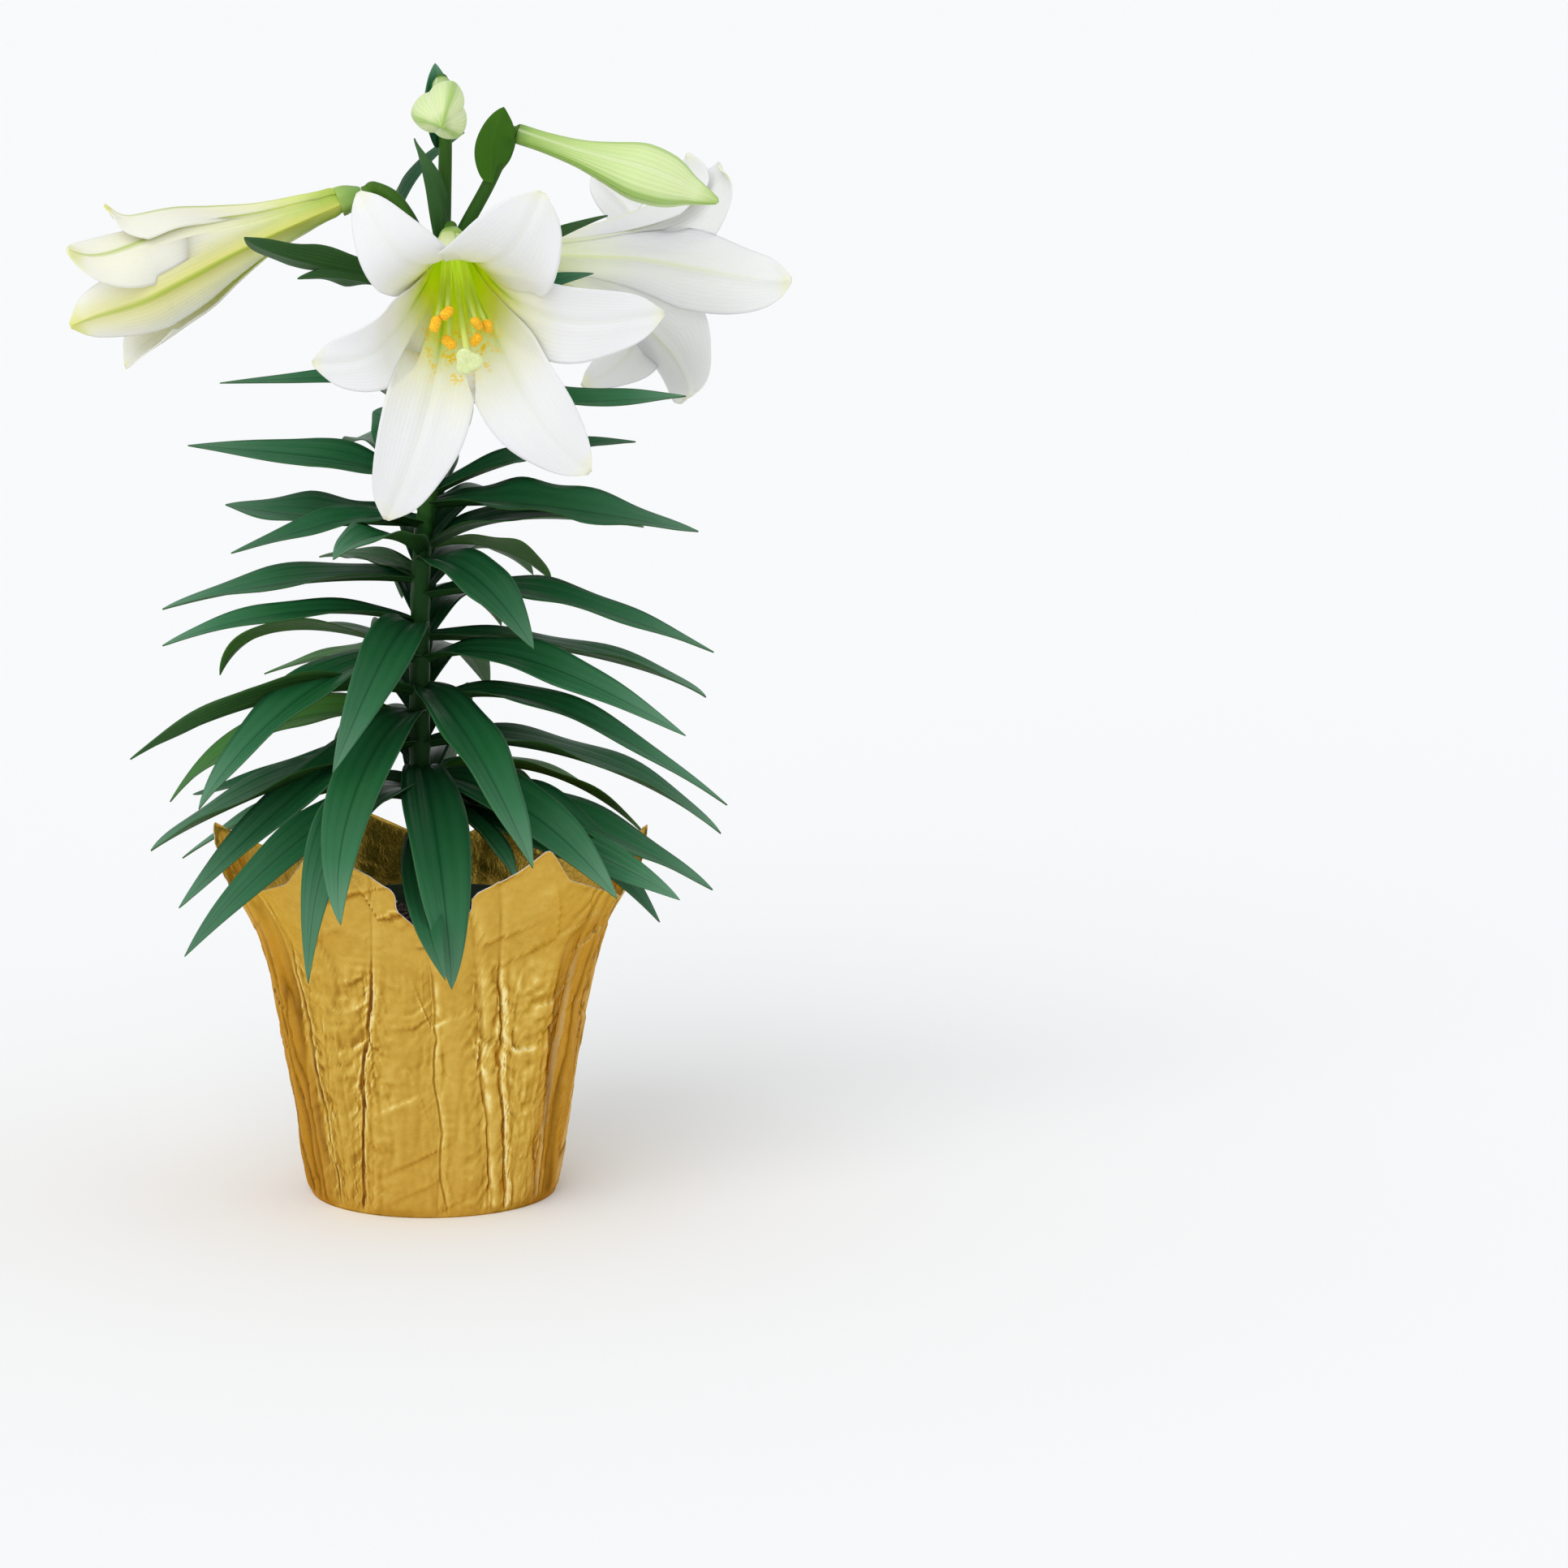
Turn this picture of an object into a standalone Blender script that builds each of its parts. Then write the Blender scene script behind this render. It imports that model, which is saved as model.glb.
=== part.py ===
"""Potted Easter lily in a foil-covered grower pot.

One flowering stem stands in a plain hole in the soil of a plastic pot, and the pot stands in a
pleated foil cover. The stem carries lance-shaped leaves up to the whorl under the flowers, and
five flower stalks: two open trumpets, one trumpet just opening and two closed buds.

Frame: origin at the centre of the cover's underside, +Z up, -Y to the front, +X to the right.
Sizes are millimetres and degrees; the meshes are made in metres.
"""
import math
import random

import bpy
import numpy as np

MM = 0.001
CLEARANCE = 0.3             # air between two pieces that touch

# Foil cover
COVER_FOOT_RADIUS = 55.5
COVER_WALL = 0.8
COVER_NOTCH_HEIGHT = 131.0  # the front notch, the rim's lowest point
COVER_PETAL_HEIGHT = 178.0  # the tips of the two front petals
COVER_FRONT = 270.0         # azimuth of the middle of the cover's front

# Grower pot
POT_HEIGHT = 125.0
POT_FOOT_RADIUS = 51.5
POT_RIM_RADIUS = 72.8
POT_RIM_HEIGHT = 15.0
POT_WALL = 1.6
POT_SIDES = 24
DRAIN_RADIUS = 5.0
DRAIN_PLACE = 36.0          # drain holes' distance from the pot's axis

# Soil and stem
SOIL_LEVEL = 118.0
STEM_FOOT_DEPTH = 58.0      # how deep the stem stands in the soil
STEM_RADIUS = 4.8
STEM_TOP_RADIUS = 3.4
UMBEL = (6.0, 0.0, 422.0)   # where the flower stalks part

# Leaves
LEAF_THICKNESS = 1.4        # at the midrib
LEAF_SINK = 2.0             # how far from the stem's axis a leaf's root starts
LEAF_FACING = 14.0          # how far the leaves turn their upper faces to the front
GOLDEN_ANGLE = 137.5

# Blooms
TEPAL_THICKNESS = 0.8
LAYER_GAP = 0.3             # between the inner and the outer three tepals, in the tube
RECEPTACLE_LENGTH = 11.0
STALK_RADIUS = 2.6


def clear_scene():
    """Remove the objects that the scene opens with."""
    for thing in list(bpy.data.objects):
        bpy.data.objects.remove(thing, do_unlink=True)


def material(name, colour, roughness, metallic=0.0):
    """A Principled material of one colour."""
    made = bpy.data.materials.new(name)
    made.use_nodes = True
    shader = made.node_tree.nodes["Principled BSDF"]
    shader.inputs["Base Color"].default_value = (*colour, 1.0)
    shader.inputs["Roughness"].default_value = roughness
    shader.inputs["Metallic"].default_value = metallic
    made.diffuse_color = (*colour, 1.0)
    return made


def add_object(name, solid, finish=None):
    """Make an object from a solid, which is a pair of points in millimetres and triangles."""
    points, faces = solid
    mesh = bpy.data.meshes.new(name)
    mesh.from_pydata([tuple(float(value) * MM for value in point) for point in points], [], faces)
    mesh.update()
    thing = bpy.data.objects.new(name, mesh)
    bpy.context.scene.collection.objects.link(thing)
    if finish:
        mesh.materials.append(finish)
    return thing


def outward(solid):
    """The same solid with its triangles facing out."""
    points, faces = solid
    points = np.asarray(points, dtype=float)
    corners = points[np.asarray(faces)]
    volume = np.einsum("ij,ij->i", corners[:, 0], np.cross(corners[:, 1], corners[:, 2])).sum()
    if volume < 0:
        faces = [tuple(reversed(face)) for face in faces]
    return points, faces


def curve_through(knots, count):
    """Points of a smooth curve through the knots, evenly spaced in knot number."""
    knots = np.asarray(knots, dtype=float)
    padded = np.vstack([2 * knots[0] - knots[1], knots, 2 * knots[-1] - knots[-2]])
    places = np.linspace(0, len(knots) - 1, count)
    span = np.minimum(places.astype(int), len(knots) - 2)
    t = (places - span)[:, None]
    before, start, end, after = (padded[span + shift] for shift in range(4))
    return 0.5 * (2 * start + (end - before) * t
                  + (2 * before - 5 * start + 4 * end - after) * t ** 2
                  + (3 * start - before - 3 * end + after) * t ** 3)


def smooth_step(low, high, value):
    """Rise from 0 at low to 1 at high."""
    t = np.clip((np.asarray(value, dtype=float) - low) / (high - low), 0.0, 1.0)
    return t * t * (3 - 2 * t)


def unit(vectors):
    """Vectors scaled to length one."""
    vectors = np.asarray(vectors, dtype=float)
    return vectors / np.linalg.norm(vectors, axis=-1, keepdims=True)


def tube(path, radii, sides):
    """A closed round tube along a path of points, with flat ends."""
    path = np.asarray(path, dtype=float)
    tangents = unit(np.gradient(path, axis=0))
    side = unit(np.cross(tangents[0], (0.3, 0.9, 0.1)))
    points = []
    for place, tangent, radius in zip(path, tangents, radii):
        side = unit(side - tangent * np.dot(side, tangent))
        other = np.cross(tangent, side)
        for step in range(sides):
            angle = 2 * math.pi * step / sides
            points.append(place + radius * (math.cos(angle) * side + math.sin(angle) * other))
    faces = []
    for ring in range(len(path) - 1):
        for step in range(sides):
            a = ring * sides + step
            b = ring * sides + (step + 1) % sides
            faces += [(a, b, b + sides), (a, b + sides, a + sides)]
    last = (len(path) - 1) * sides
    for step in range(1, sides - 1):
        faces += [(0, step + 1, step), (last, last + step, last + step + 1)]
    return outward((points, faces))


def turned(profile, sides):
    """A closed solid turned about the Z axis from a closed profile of (radius, height)."""
    points = []
    for step in range(sides):
        angle = 2 * math.pi * step / sides
        points += [(radius * math.cos(angle), radius * math.sin(angle), height)
                   for radius, height in profile]
    count = len(profile)
    faces = []
    for step in range(sides):
        here = step * count
        there = ((step + 1) % sides) * count
        for knot in range(count):
            after = (knot + 1) % count
            faces += [(here + knot, there + knot, there + after),
                      (here + knot, there + after, here + after)]
    return outward((points, faces))


def fuse(name, solids, finish):
    """Join solids that overlap into one closed body with a single Boolean union."""
    group = bpy.data.collections.new(name + "_pieces")
    bpy.context.scene.collection.children.link(group)
    for number, solid in enumerate(solids[1:]):
        piece = add_object(f"{name}_piece_{number}", solid)
        bpy.context.scene.collection.objects.unlink(piece)
        group.objects.link(piece)
    whole = add_object(name, solids[0], finish)
    union = whole.modifiers.new("union", "BOOLEAN")
    union.operation = "UNION"
    union.operand_type = "COLLECTION"
    union.collection = group
    union.solver = "MANIFOLD"
    seen = whole.evaluated_get(bpy.context.evaluated_depsgraph_get())
    joined = bpy.data.meshes.new_from_object(seen)
    joined.name = name
    whole.modifiers.clear()
    whole.data = joined
    for piece in list(group.objects):
        bpy.data.objects.remove(piece, do_unlink=True)
    bpy.data.collections.remove(group)
    joined.materials.clear()
    joined.materials.append(finish)
    joined.shade_smooth()
    joined.set_sharp_from_angle(angle=math.radians(50))
    return whole


# Foil cover: one sheet pleated round the pot, with a flat floor and a rim of six petals.

COVER_PROFILE = [           # (height, radius) of the cover's side up to a petal's tip
    (0, COVER_FOOT_RADIUS), (30, 60.5), (60, 65.0), (96, 71.0), (114, 75.6), (127, 80.5),
    (137, 86), (147, 91), (160, 96), (178, 101),
]
COVER_SEAMS = [             # the pleats' azimuths from the front, at the foot and at the rim
    (-170, -170), (-148, -148), (-125, -125), (-102, -102), (-74, -80), (-45, -50),
    (-32, -12), (8, 1), (30, 14), (37, 21), (53, 60), (80, 86),
    (102, 102), (125, 125), (148, 148), (168, 168),
]
SEAM_COLUMNS = 3            # columns of points from one pleat to the next
COVER_ROWS = 10
PLEAT_DEPTH = 1.5
PANEL_BULGE = 1.1           # how far the foil stands out between two pleats
COVER_RIM = [               # the rim's azimuths from the front and heights, notch and tip in turn
    (0, 138), (5, COVER_NOTCH_HEIGHT), (14.5, 148), (16.5, 157), (21, 161), (27, 166), (34, 175),
    (42, 158), (54, 151), (78, 139), (98, 166), (122, 148), (150, 163), (180, 140), (210, 163),
    (238, 148), (262, 167), (286, 146), (307, 149), (322, 157), (334, COVER_PETAL_HEIGHT),
    (348.5, 164), (352, 157), (353.5, 149), (360, 138),
]


def cover_radius(height):
    """The plain radius of the cover's side at a height."""
    heights, radii = zip(*COVER_PROFILE)
    return np.interp(height, heights, radii)


def cover_rim_height(azimuth):
    """The rim's height: pointed petals with notches between them."""
    places, heights = zip(*COVER_RIM)
    return np.interp((azimuth - COVER_FRONT) % 360, places, heights)


def cover_columns():
    """Azimuth at the foot, azimuth at the rim and pleat depth of each column of points."""
    columns = []
    for number, seam in enumerate(COVER_SEAMS):
        following = COVER_SEAMS[(number + 1) % len(COVER_SEAMS)]
        widths = [(after - before) % 360 for before, after in zip(seam, following)]
        for step in range(SEAM_COLUMNS):
            share = step / SEAM_COLUMNS
            depth = -PLEAT_DEPTH if step == 0 else PANEL_BULGE * math.sin(math.pi * share)
            places = [COVER_FRONT + start + width * share for start, width in zip(seam, widths)]
            columns.append((*places, depth))
    return columns


def foil_cover(finish):
    """The pleated cover as one thin shell with a flat floor."""
    columns = cover_columns()
    count = len(columns)
    points = [(0.0, 0.0, 0.0)]
    for row in range(COVER_ROWS + 1):
        share = row / COVER_ROWS
        for foot_place, rim_place, pleat in columns:
            azimuth = foot_place + (rim_place - foot_place) * share
            height = cover_rim_height(rim_place) * share
            fade = smooth_step(0, 12, height) * (1 - 0.6 * smooth_step(100, 140, height))
            radius = cover_radius(height) + pleat * fade
            angle = math.radians(azimuth)
            points.append((radius * math.cos(angle), radius * math.sin(angle), height))
    faces = []
    for step in range(count):
        following = (step + 1) % count
        faces.append((0, 1 + following, 1 + step))
        for row in range(COVER_ROWS):
            a = 1 + row * count + step
            b = 1 + row * count + following
            faces += [(a, b, b + count), (a, b + count, a + count)]
    cover = add_object("foil_cover", (points, faces), finish)
    shell = cover.modifiers.new("shell", "SOLIDIFY")
    shell.thickness = COVER_WALL * MM
    shell.offset = -1.0
    cover.data.shade_smooth()
    cover.data.set_sharp_from_angle(angle=math.radians(40))
    return cover


# Grower pot: a moulded plastic pot with a stepped rim and drain holes in its floor.

POT_BASE = COVER_WALL + CLEARANCE


def pot_outline():
    """The pot's closed wall profile, from its floor's middle out, up, over the rim and back."""
    rim_foot = POT_BASE + POT_HEIGHT - POT_RIM_HEIGHT
    top = POT_BASE + POT_HEIGHT
    shoulder = POT_RIM_RADIUS - 3.2
    return [
        (2.0, POT_BASE), (POT_FOOT_RADIUS - 1.5, POT_BASE), (POT_FOOT_RADIUS, POT_BASE + 1.5),
        (shoulder - 1.2, rim_foot), (POT_RIM_RADIUS - 1.6, rim_foot), (POT_RIM_RADIUS, top - 0.8),
        (POT_RIM_RADIUS - 0.6, top), (POT_RIM_RADIUS - POT_WALL, top),
        (shoulder - POT_WALL, rim_foot + 2.0), (POT_FOOT_RADIUS - POT_WALL, POT_BASE + POT_WALL + 1),
        (POT_FOOT_RADIUS - POT_WALL - 1.5, POT_BASE + POT_WALL), (2.0, POT_BASE + POT_WALL),
    ]


def pot_inner_radius(height):
    """The pot's inner radius at a height above its floor."""
    low = POT_BASE + POT_WALL + 1
    shoulder = POT_BASE + POT_HEIGHT - POT_RIM_HEIGHT + 2.0
    radii = [POT_FOOT_RADIUS - POT_WALL, POT_RIM_RADIUS - 3.2 - POT_WALL, POT_RIM_RADIUS - POT_WALL]
    return np.interp(height, [low, shoulder, POT_BASE + POT_HEIGHT], radii)


def pot(finish):
    """The turned pot with a small middle drain and four more round it."""
    body = add_object("pot", turned(pot_outline(), POT_SIDES), finish)
    cutters = bpy.data.collections.new("drain_cutters")
    bpy.context.scene.collection.children.link(cutters)
    for number in range(4):
        angle = math.radians(90 * number + 45)
        place = np.array([DRAIN_PLACE * math.cos(angle), DRAIN_PLACE * math.sin(angle), 0.0])
        path = [place + (0, 0, POT_BASE - 2), place + (0, 0, POT_BASE + POT_WALL + 2)]
        cutter = add_object(f"drain_cutter_{number}", tube(path, [DRAIN_RADIUS] * 2, 8))
        bpy.context.scene.collection.objects.unlink(cutter)
        cutters.objects.link(cutter)
        cutter.hide_render = True
        cutter.display_type = "WIRE"
    drains = body.modifiers.new("drains", "BOOLEAN")
    drains.operation = "DIFFERENCE"
    drains.operand_type = "COLLECTION"
    drains.collection = cutters
    body.data.shade_smooth()
    body.data.set_sharp_from_angle(angle=math.radians(35))
    return body


# Stem line: a slight S from the soil to where the flower stalks part.

STEM_LINE = [
    (-4.0, 0.0, SOIL_LEVEL - STEM_FOOT_DEPTH), (-4.0, 0.0, 118), (-4.3, 0.0, 190),
    (-2.8, 0.0, 285), (1.5, 0.0, 330), UMBEL,
]


def stem_axis(height):
    """The stem's middle at a height."""
    knots = np.asarray(STEM_LINE, dtype=float)
    return np.array([np.interp(height, knots[:, 2], knots[:, 0]), 0.0, height])


SOIL_CROWN = 2.0            # how much higher the soil lies at the stem than at the pot's wall
SOIL_TOP_RINGS = (13.0, 24.0, 36.0, 48.0, 59.0)
SOIL_SIDE_RINGS = (SOIL_LEVEL, 80.0, 30.0, POT_BASE + POT_WALL + CLEARANCE + 2.5)


def soil_lump(x, y):
    """How far the soil's top rises or sinks at a place."""
    return 0.9 * math.sin(0.31 * x + 1.0) * math.cos(0.27 * y) + 0.7 * math.sin(0.6 * (x - y))


def soil_rings():
    """Rings of the soil as (radius, height, middle's x, lumpy), from the hole's floor outward."""
    hole = STEM_RADIUS + CLEARANCE
    hole_floor = SOIL_LEVEL - STEM_FOOT_DEPTH - CLEARANCE
    crown = SOIL_LEVEL + SOIL_CROWN
    middle = STEM_LINE[0][0]
    rings = [(hole, hole_floor, middle, False), (hole, crown, middle, False)]
    last = SOIL_TOP_RINGS[-1]
    for radius in SOIL_TOP_RINGS:
        share = radius / last
        rings.append((radius, crown - SOIL_CROWN * share, middle * (1 - share), True))
    for height in SOIL_SIDE_RINGS:
        rings.append((float(pot_inner_radius(height)) - 1.5 * CLEARANCE, height, 0.0, False))
    foot = POT_FOOT_RADIUS - POT_WALL - 3.5
    rings.append((foot, POT_BASE + POT_WALL + CLEARANCE, 0.0, False))
    return rings


def soil(finish):
    """Potting mix that fills the pot: an uneven top round a plain hole for the stem."""
    rings = soil_rings()
    points = []
    for radius, height, middle, lumpy in rings:
        for step in range(POT_SIDES):
            angle = 2 * math.pi * step / POT_SIDES
            x = middle + radius * math.cos(angle)
            y = radius * math.sin(angle)
            points.append((x, y, height + (soil_lump(x, y) if lumpy else 0.0)))
    hole_middle = len(points)
    points += [(rings[0][2], 0.0, rings[0][1]), (0.0, 0.0, rings[-1][1])]
    last = (len(rings) - 1) * POT_SIDES
    faces = []
    for step in range(POT_SIDES):
        following = (step + 1) % POT_SIDES
        faces.append((hole_middle, step, following))
        for ring in range(len(rings) - 1):
            a = ring * POT_SIDES + step
            b = ring * POT_SIDES + following
            faces += [(a, a + POT_SIDES, b + POT_SIDES), (a, b + POT_SIDES, b)]
        faces.append((last + step, hole_middle + 1, last + following))
    bed = add_object("soil", outward((points, faces)), finish)
    bed.data.shade_smooth()
    bed.data.set_sharp_from_angle(angle=math.radians(50))
    return bed


# Leaves: foot height, azimuth, reach, rise of the tip above the foot, arch above the straight
# line and width; then, where a leaf needs it, its twist about the midrib, the sideways sweep of
# its tip, or how far out it starts to droop. Azimuth 0 is right, 90 back, 180 left, 270 front.

WHORL_LEAVES = [
    (417, 210, 117, 27, -6, 20, {"twist": 47, "sweep": 18}),
    (401, 208, 65, 18, 9, 24, {"twist": 48, "sweep": -4}),
    (413, 345, 9, 65, -9, 11, {"twist": 7, "sweep": -157, "droop": 0.88}),
    (409, 155, 55, 66, -6, 18, {"twist": 76, "sweep": -76, "droop": 0.7}),
    (404, -1, 82, 43, 4, 17, {"twist": -27, "sweep": -19, "droop": 0.76}),
    (396, 14, 72, 20, 4, 10, {"twist": 40}),
]
LEFT_LEAVES = [
    (367, 171, 96, 1, 5, 10, {"twist": -28, "sweep": 4, "droop": 0.3}),
    (320, 139, 34, 33, 9, 24, {"twist": -40}),
    (322, 184, 108, 18, 8, 21, {"twist": -23, "sweep": -8, "droop": 0.37}),
    (307, 180, 92, 5, -2, 33, {"twist": -4, "sweep": -10}),
    (306, 215, 95, -6, 10, 19, {"twist": -8, "sweep": -6, "droop": 0.45}),
    (293, 243, 78, 8, 12, 24, {}),
    (281, 128, 74, 1, 5, 17, {"sweep": 4, "droop": 0.73}),
    (281, 174, 118, -16, 7, 27, {}),
    (262, 195, 116, -8, 13, 16, {"twist": -11, "sweep": -5, "droop": 0.7}),
    (247, 141, 110, -20, 13, 18, {"twist": 28, "sweep": 9, "droop": 0.97}),
    (240, 121, 121, -19, 10, 17, {"twist": -12, "sweep": 9}),
    (230, 206, 142, -18, 15, 31, {"twist": 48, "sweep": 3}),
    (245, 219, 121, -54, 25, 27, {"droop": 0.74}),
    (259, 255, 92, -50, 27, 23, {"twist": -30, "sweep": -7, "droop": 0.71}),
    (211, 159, 126, -41, 29, 23, {"twist": -22, "droop": 0.74}),
    (218, 162, 120, -46, -3, 9, {"twist": -24, "sweep": -8, "droop": 0.78}),
    (207, 205, 129, -39, 8, 33, {"twist": 19, "droop": 0.78}),
    (188, 151, 130, -48, 14, 22, {"twist": -9}),
    (217, 215, 113, -79, 20, 22, {"twist": -14, "sweep": -16, "droop": 0.71}),
    (180, 233, 132, -53, 33, 20, {"twist": -19, "sweep": -12, "droop": 0.76}),
]
FRONT_LEAVES = [
    (185, 250, 126, -63, 25, 25, {"droop": 0.95}),
    (220, 251, 135, -69, 30, 24, {"twist": -5, "sweep": 7, "droop": 0.89}),
    (195, 279, 126, -74, 27, 28, {"twist": -12, "droop": 0.89}),
    (169, 272, 150, -38, 8, 17, {"sweep": 5, "droop": 0.73}),
    (186, 313, 73, -31, 6, 19, {"twist": -30, "sweep": -5, "droop": 0.81}),
]
RIGHT_LEAVES = [
    (315, 349, 122, -15, 8, 34, {"twist": 6, "sweep": 18, "droop": 0.55}),
    (296, -6, 102, 4, 15, 32, {"twist": -4, "sweep": 22, "droop": 0.52}),
    (295, 52, 89, -26, 12, 20, {"twist": -17, "droop": 0.76}),
    (289, 302, 100, -25, 15, 25, {"twist": 8}),
    (274, 346, 132, -24, 15, 25, {"sweep": 8, "droop": 0.56}),
    (255, 11, 129, -25, 7, 26, {"twist": -14, "sweep": -18, "droop": 0.76}),
    (245, 330, 132, -25, 19, 21, {"twist": 25, "sweep": 5, "droop": 0.55}),
    (224, 344, 139, -43, 27, 22, {"sweep": 9, "droop": 0.55}),
    (206, 5, 138, -36, 16, 32, {"twist": -11, "sweep": -16}),
    (233, 297, 119, -62, 14, 28, {"twist": -14}),
    (191, 327, 113, -42, 17, 26, {"twist": 22, "sweep": -4}),
    (189, 348, 132, -49, 13, 30, {"sweep": 9, "droop": 0.72}),
    (186, 19, 111, -32, 27, 21, {"twist": -14, "sweep": 6}),
    (181, 340, 125, -38, 8, 20, {"twist": 41, "droop": 0.74}),
    (167, 347, 111, -38, 39, 28, {"twist": 17, "droop": 0.62}),
    (364, 5, 113, -2, -4, 22, {"twist": 5}),
    (320, 20, 98, 18, 7, 18, {}),
]
BACK_LEAVES = 20            # the leaves behind the stem follow the spiral rule alone
BACK_LOW = 173.0
BACK_HIGH = 388.0


def back_leaves():
    """Leaves behind the stem, one after another up the golden-angle spiral."""
    draw = random.Random(56)
    rows = []
    for number in range(BACK_LEAVES):
        share = number / (BACK_LEAVES - 1)
        foot = BACK_LOW + share * (BACK_HIGH - BACK_LOW)
        azimuth = 62 + (number * GOLDEN_ANGLE) % 56
        reach = draw.uniform(106, 124) - 110 * max(0.0, share - 0.72)
        rise = -28 + 44 * share + draw.uniform(-5, 5)
        arch = draw.uniform(28, 36) - 18 * share
        width = draw.uniform(23, 28) - 7 * share
        rows.append((foot, azimuth, reach, rise, arch, width, {"twist": draw.uniform(-12, 12)}))
    return rows


LEAF_STOPS = (0.0, 0.14, 0.31, 0.50, 0.70, 0.88, 1.0)
LEAF_CHANNEL = 16.0         # how far the two halves of a blade rise from its midrib


def leaf_outline(share):
    """Width along a lance-shaped leaf, as a part of its full width."""
    return (0.30 * (1 - share) ** 2.5 + math.sin(math.pi * share ** 0.95) ** 0.85) / 1.05


def bezier(corners, share):
    """Point of a cubic curve."""
    a, b, c, d = (np.asarray(corner, dtype=float) for corner in corners)
    back = 1 - share
    return back ** 3 * a + 3 * back * back * share * b + 3 * back * share * share * c + share ** 3 * d


def leaf_midrib(root, azimuth, reach, rise, arch, sweep, droop, share):
    """Point of a leaf's midrib, arching out from its root on the stem."""
    corners = [(LEAF_SINK, 0.0), (0.26 * reach, 0.26 * rise + arch),
               (droop * reach, (droop if droop < 0.9 else 0.0) * rise + arch), (reach, rise)]
    out, up = bezier(corners, share)
    angle = math.radians(azimuth + sweep * share * share)
    return np.asarray(root) + np.array([out * math.cos(angle), out * math.sin(angle), up])


def leaf_blade(root, azimuth, reach, rise, arch, width, twist=0.0, sweep=0.0, droop=0.66):
    """One leaf: a channelled blade, thick at its midrib and thin at its edges."""
    points = []
    course = (root, azimuth, reach, rise, arch, sweep, droop)
    for stop in LEAF_STOPS[:-1]:
        middle = leaf_midrib(*course, stop)
        tangent = unit(leaf_midrib(*course, stop + 0.01) - middle)
        angle = math.radians(azimuth + sweep * stop * stop)
        side = np.array([-math.sin(angle), math.cos(angle), 0.0])
        side = unit(side - tangent * np.dot(side, tangent))
        above = np.cross(tangent, side)
        turn = math.radians(twist + LEAF_FACING * math.cos(angle)) * min(1.0, 1.6 * stop)
        across = math.cos(turn) * side + math.sin(turn) * above
        above = np.cross(tangent, across)
        half = 0.5 * width * leaf_outline(stop)
        lift = above * half * math.sin(math.radians(LEAF_CHANNEL))
        under = middle - above * LEAF_THICKNESS * (1.5 - stop)
        points += [middle + across * half + lift, middle, middle - across * half + lift, under]
    points.append(leaf_midrib(*course, 1.0))
    faces = [(0, 1, 3), (1, 2, 3)]
    for ring in range(len(LEAF_STOPS) - 2):
        a = ring * 4
        left, middle, right, under = a, a + 1, a + 2, a + 3
        faces += [(left, left + 4, middle), (middle, left + 4, middle + 4),
                  (middle, middle + 4, right + 4), (middle, right + 4, right),
                  (left, under, left + 4), (under, under + 4, left + 4),
                  (under, right, right + 4), (under, right + 4, under + 4)]
    tip = len(points) - 1
    a = tip - 4
    faces += [(a, tip, a + 1), (a + 1, tip, a + 2), (a, a + 3, tip), (a + 3, a + 2, tip)]
    return outward((points, faces))


# Flowers: where each one starts, which way it points, and how far it has opened.

def flower_frame(base, axis):
    """A flower's base, its two cross directions as seen facing its mouth, and its axis."""
    axis = unit(axis)
    up = unit(np.array([0.0, 0.0, 1.0]) - axis * axis[2])
    right = np.cross(up, axis)
    return np.asarray(base, dtype=float), right, up, axis


FRONT_BLOOM = flower_frame((13, -18, 438), (0.08, -0.95, -0.30))
RIGHT_BLOOM = flower_frame((26, 15, 425), (0.80, 0.58, -0.14))
LEFT_BLOOM = flower_frame((-27, -3, 454), (-0.925, -0.12, -0.35))
RIGHT_BUD = flower_frame((42, -1, 480), (0.94, -0.10, -0.31))
TOP_BUD = flower_frame((8.5, 2, 501), (0.05, -0.99, -0.13))

# Each stalk runs from where the stalks part to the foot of its flower.
STALKS = [
    (FRONT_BLOOM, [(8, -3, 420), (12, -10, 436)]),
    (RIGHT_BLOOM, [(6, 2, 418), (14, 7, 427)]),
    (LEFT_BLOOM, [(2, -1, 418), (-3, -2, 436), (-12, -3, 451)]),
    (RIGHT_BUD, [(8, 1, 418), (18, 1, 438), (29, 1, 458), (36, 0, 474)]),
    (TOP_BUD, [(8, 1, 418), (9, 3, 446), (9.5, 8, 482)]),
]


def stalk(flower, route):
    """A flower stalk that meets its flower's foot squarely."""
    base, _, _, axis = flower
    knots = [np.asarray(place, dtype=float) for place in route]
    knots += [base - axis * 6.0, base - axis * 3.0, base - axis * CLEARANCE]
    path = curve_through(knots, 2 * len(knots) - 1)
    radii = np.linspace(STALK_RADIUS + 0.6, STALK_RADIUS, len(path))
    return tube(path, radii, 6)


def leafy_stem(finish):
    """The stem, its leaves and the flower stalks as one grown piece."""
    path = curve_through(STEM_LINE, 11)
    radii = np.interp(path[:, 2], [60, 200, 422], [STEM_RADIUS, STEM_RADIUS, STEM_TOP_RADIUS])
    solids = [tube(path, radii, 8)]
    leaves = WHORL_LEAVES + LEFT_LEAVES + FRONT_LEAVES + RIGHT_LEAVES + back_leaves()
    for foot, *shape, turns in leaves:
        solids.append(leaf_blade(stem_axis(foot), *shape, **turns))
    solids += [stalk(flower, route) for flower, route in STALKS]
    # the small leaf at the joint of the right bud's stalk
    solids.append(leaf_blade((28.5, 0.0, 459), 300, 16, 34, 2, 17, twist=-50))
    # the pointed leaf behind the top bud
    solids.append(leaf_blade((7.5, 5.5, 473), 110, 7, 37, 3, 13))
    return fuse("leafy_stem", solids, finish)


# Tepals: a trumpet's six petals, the outer three over the inner three, one body at their foot.

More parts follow.
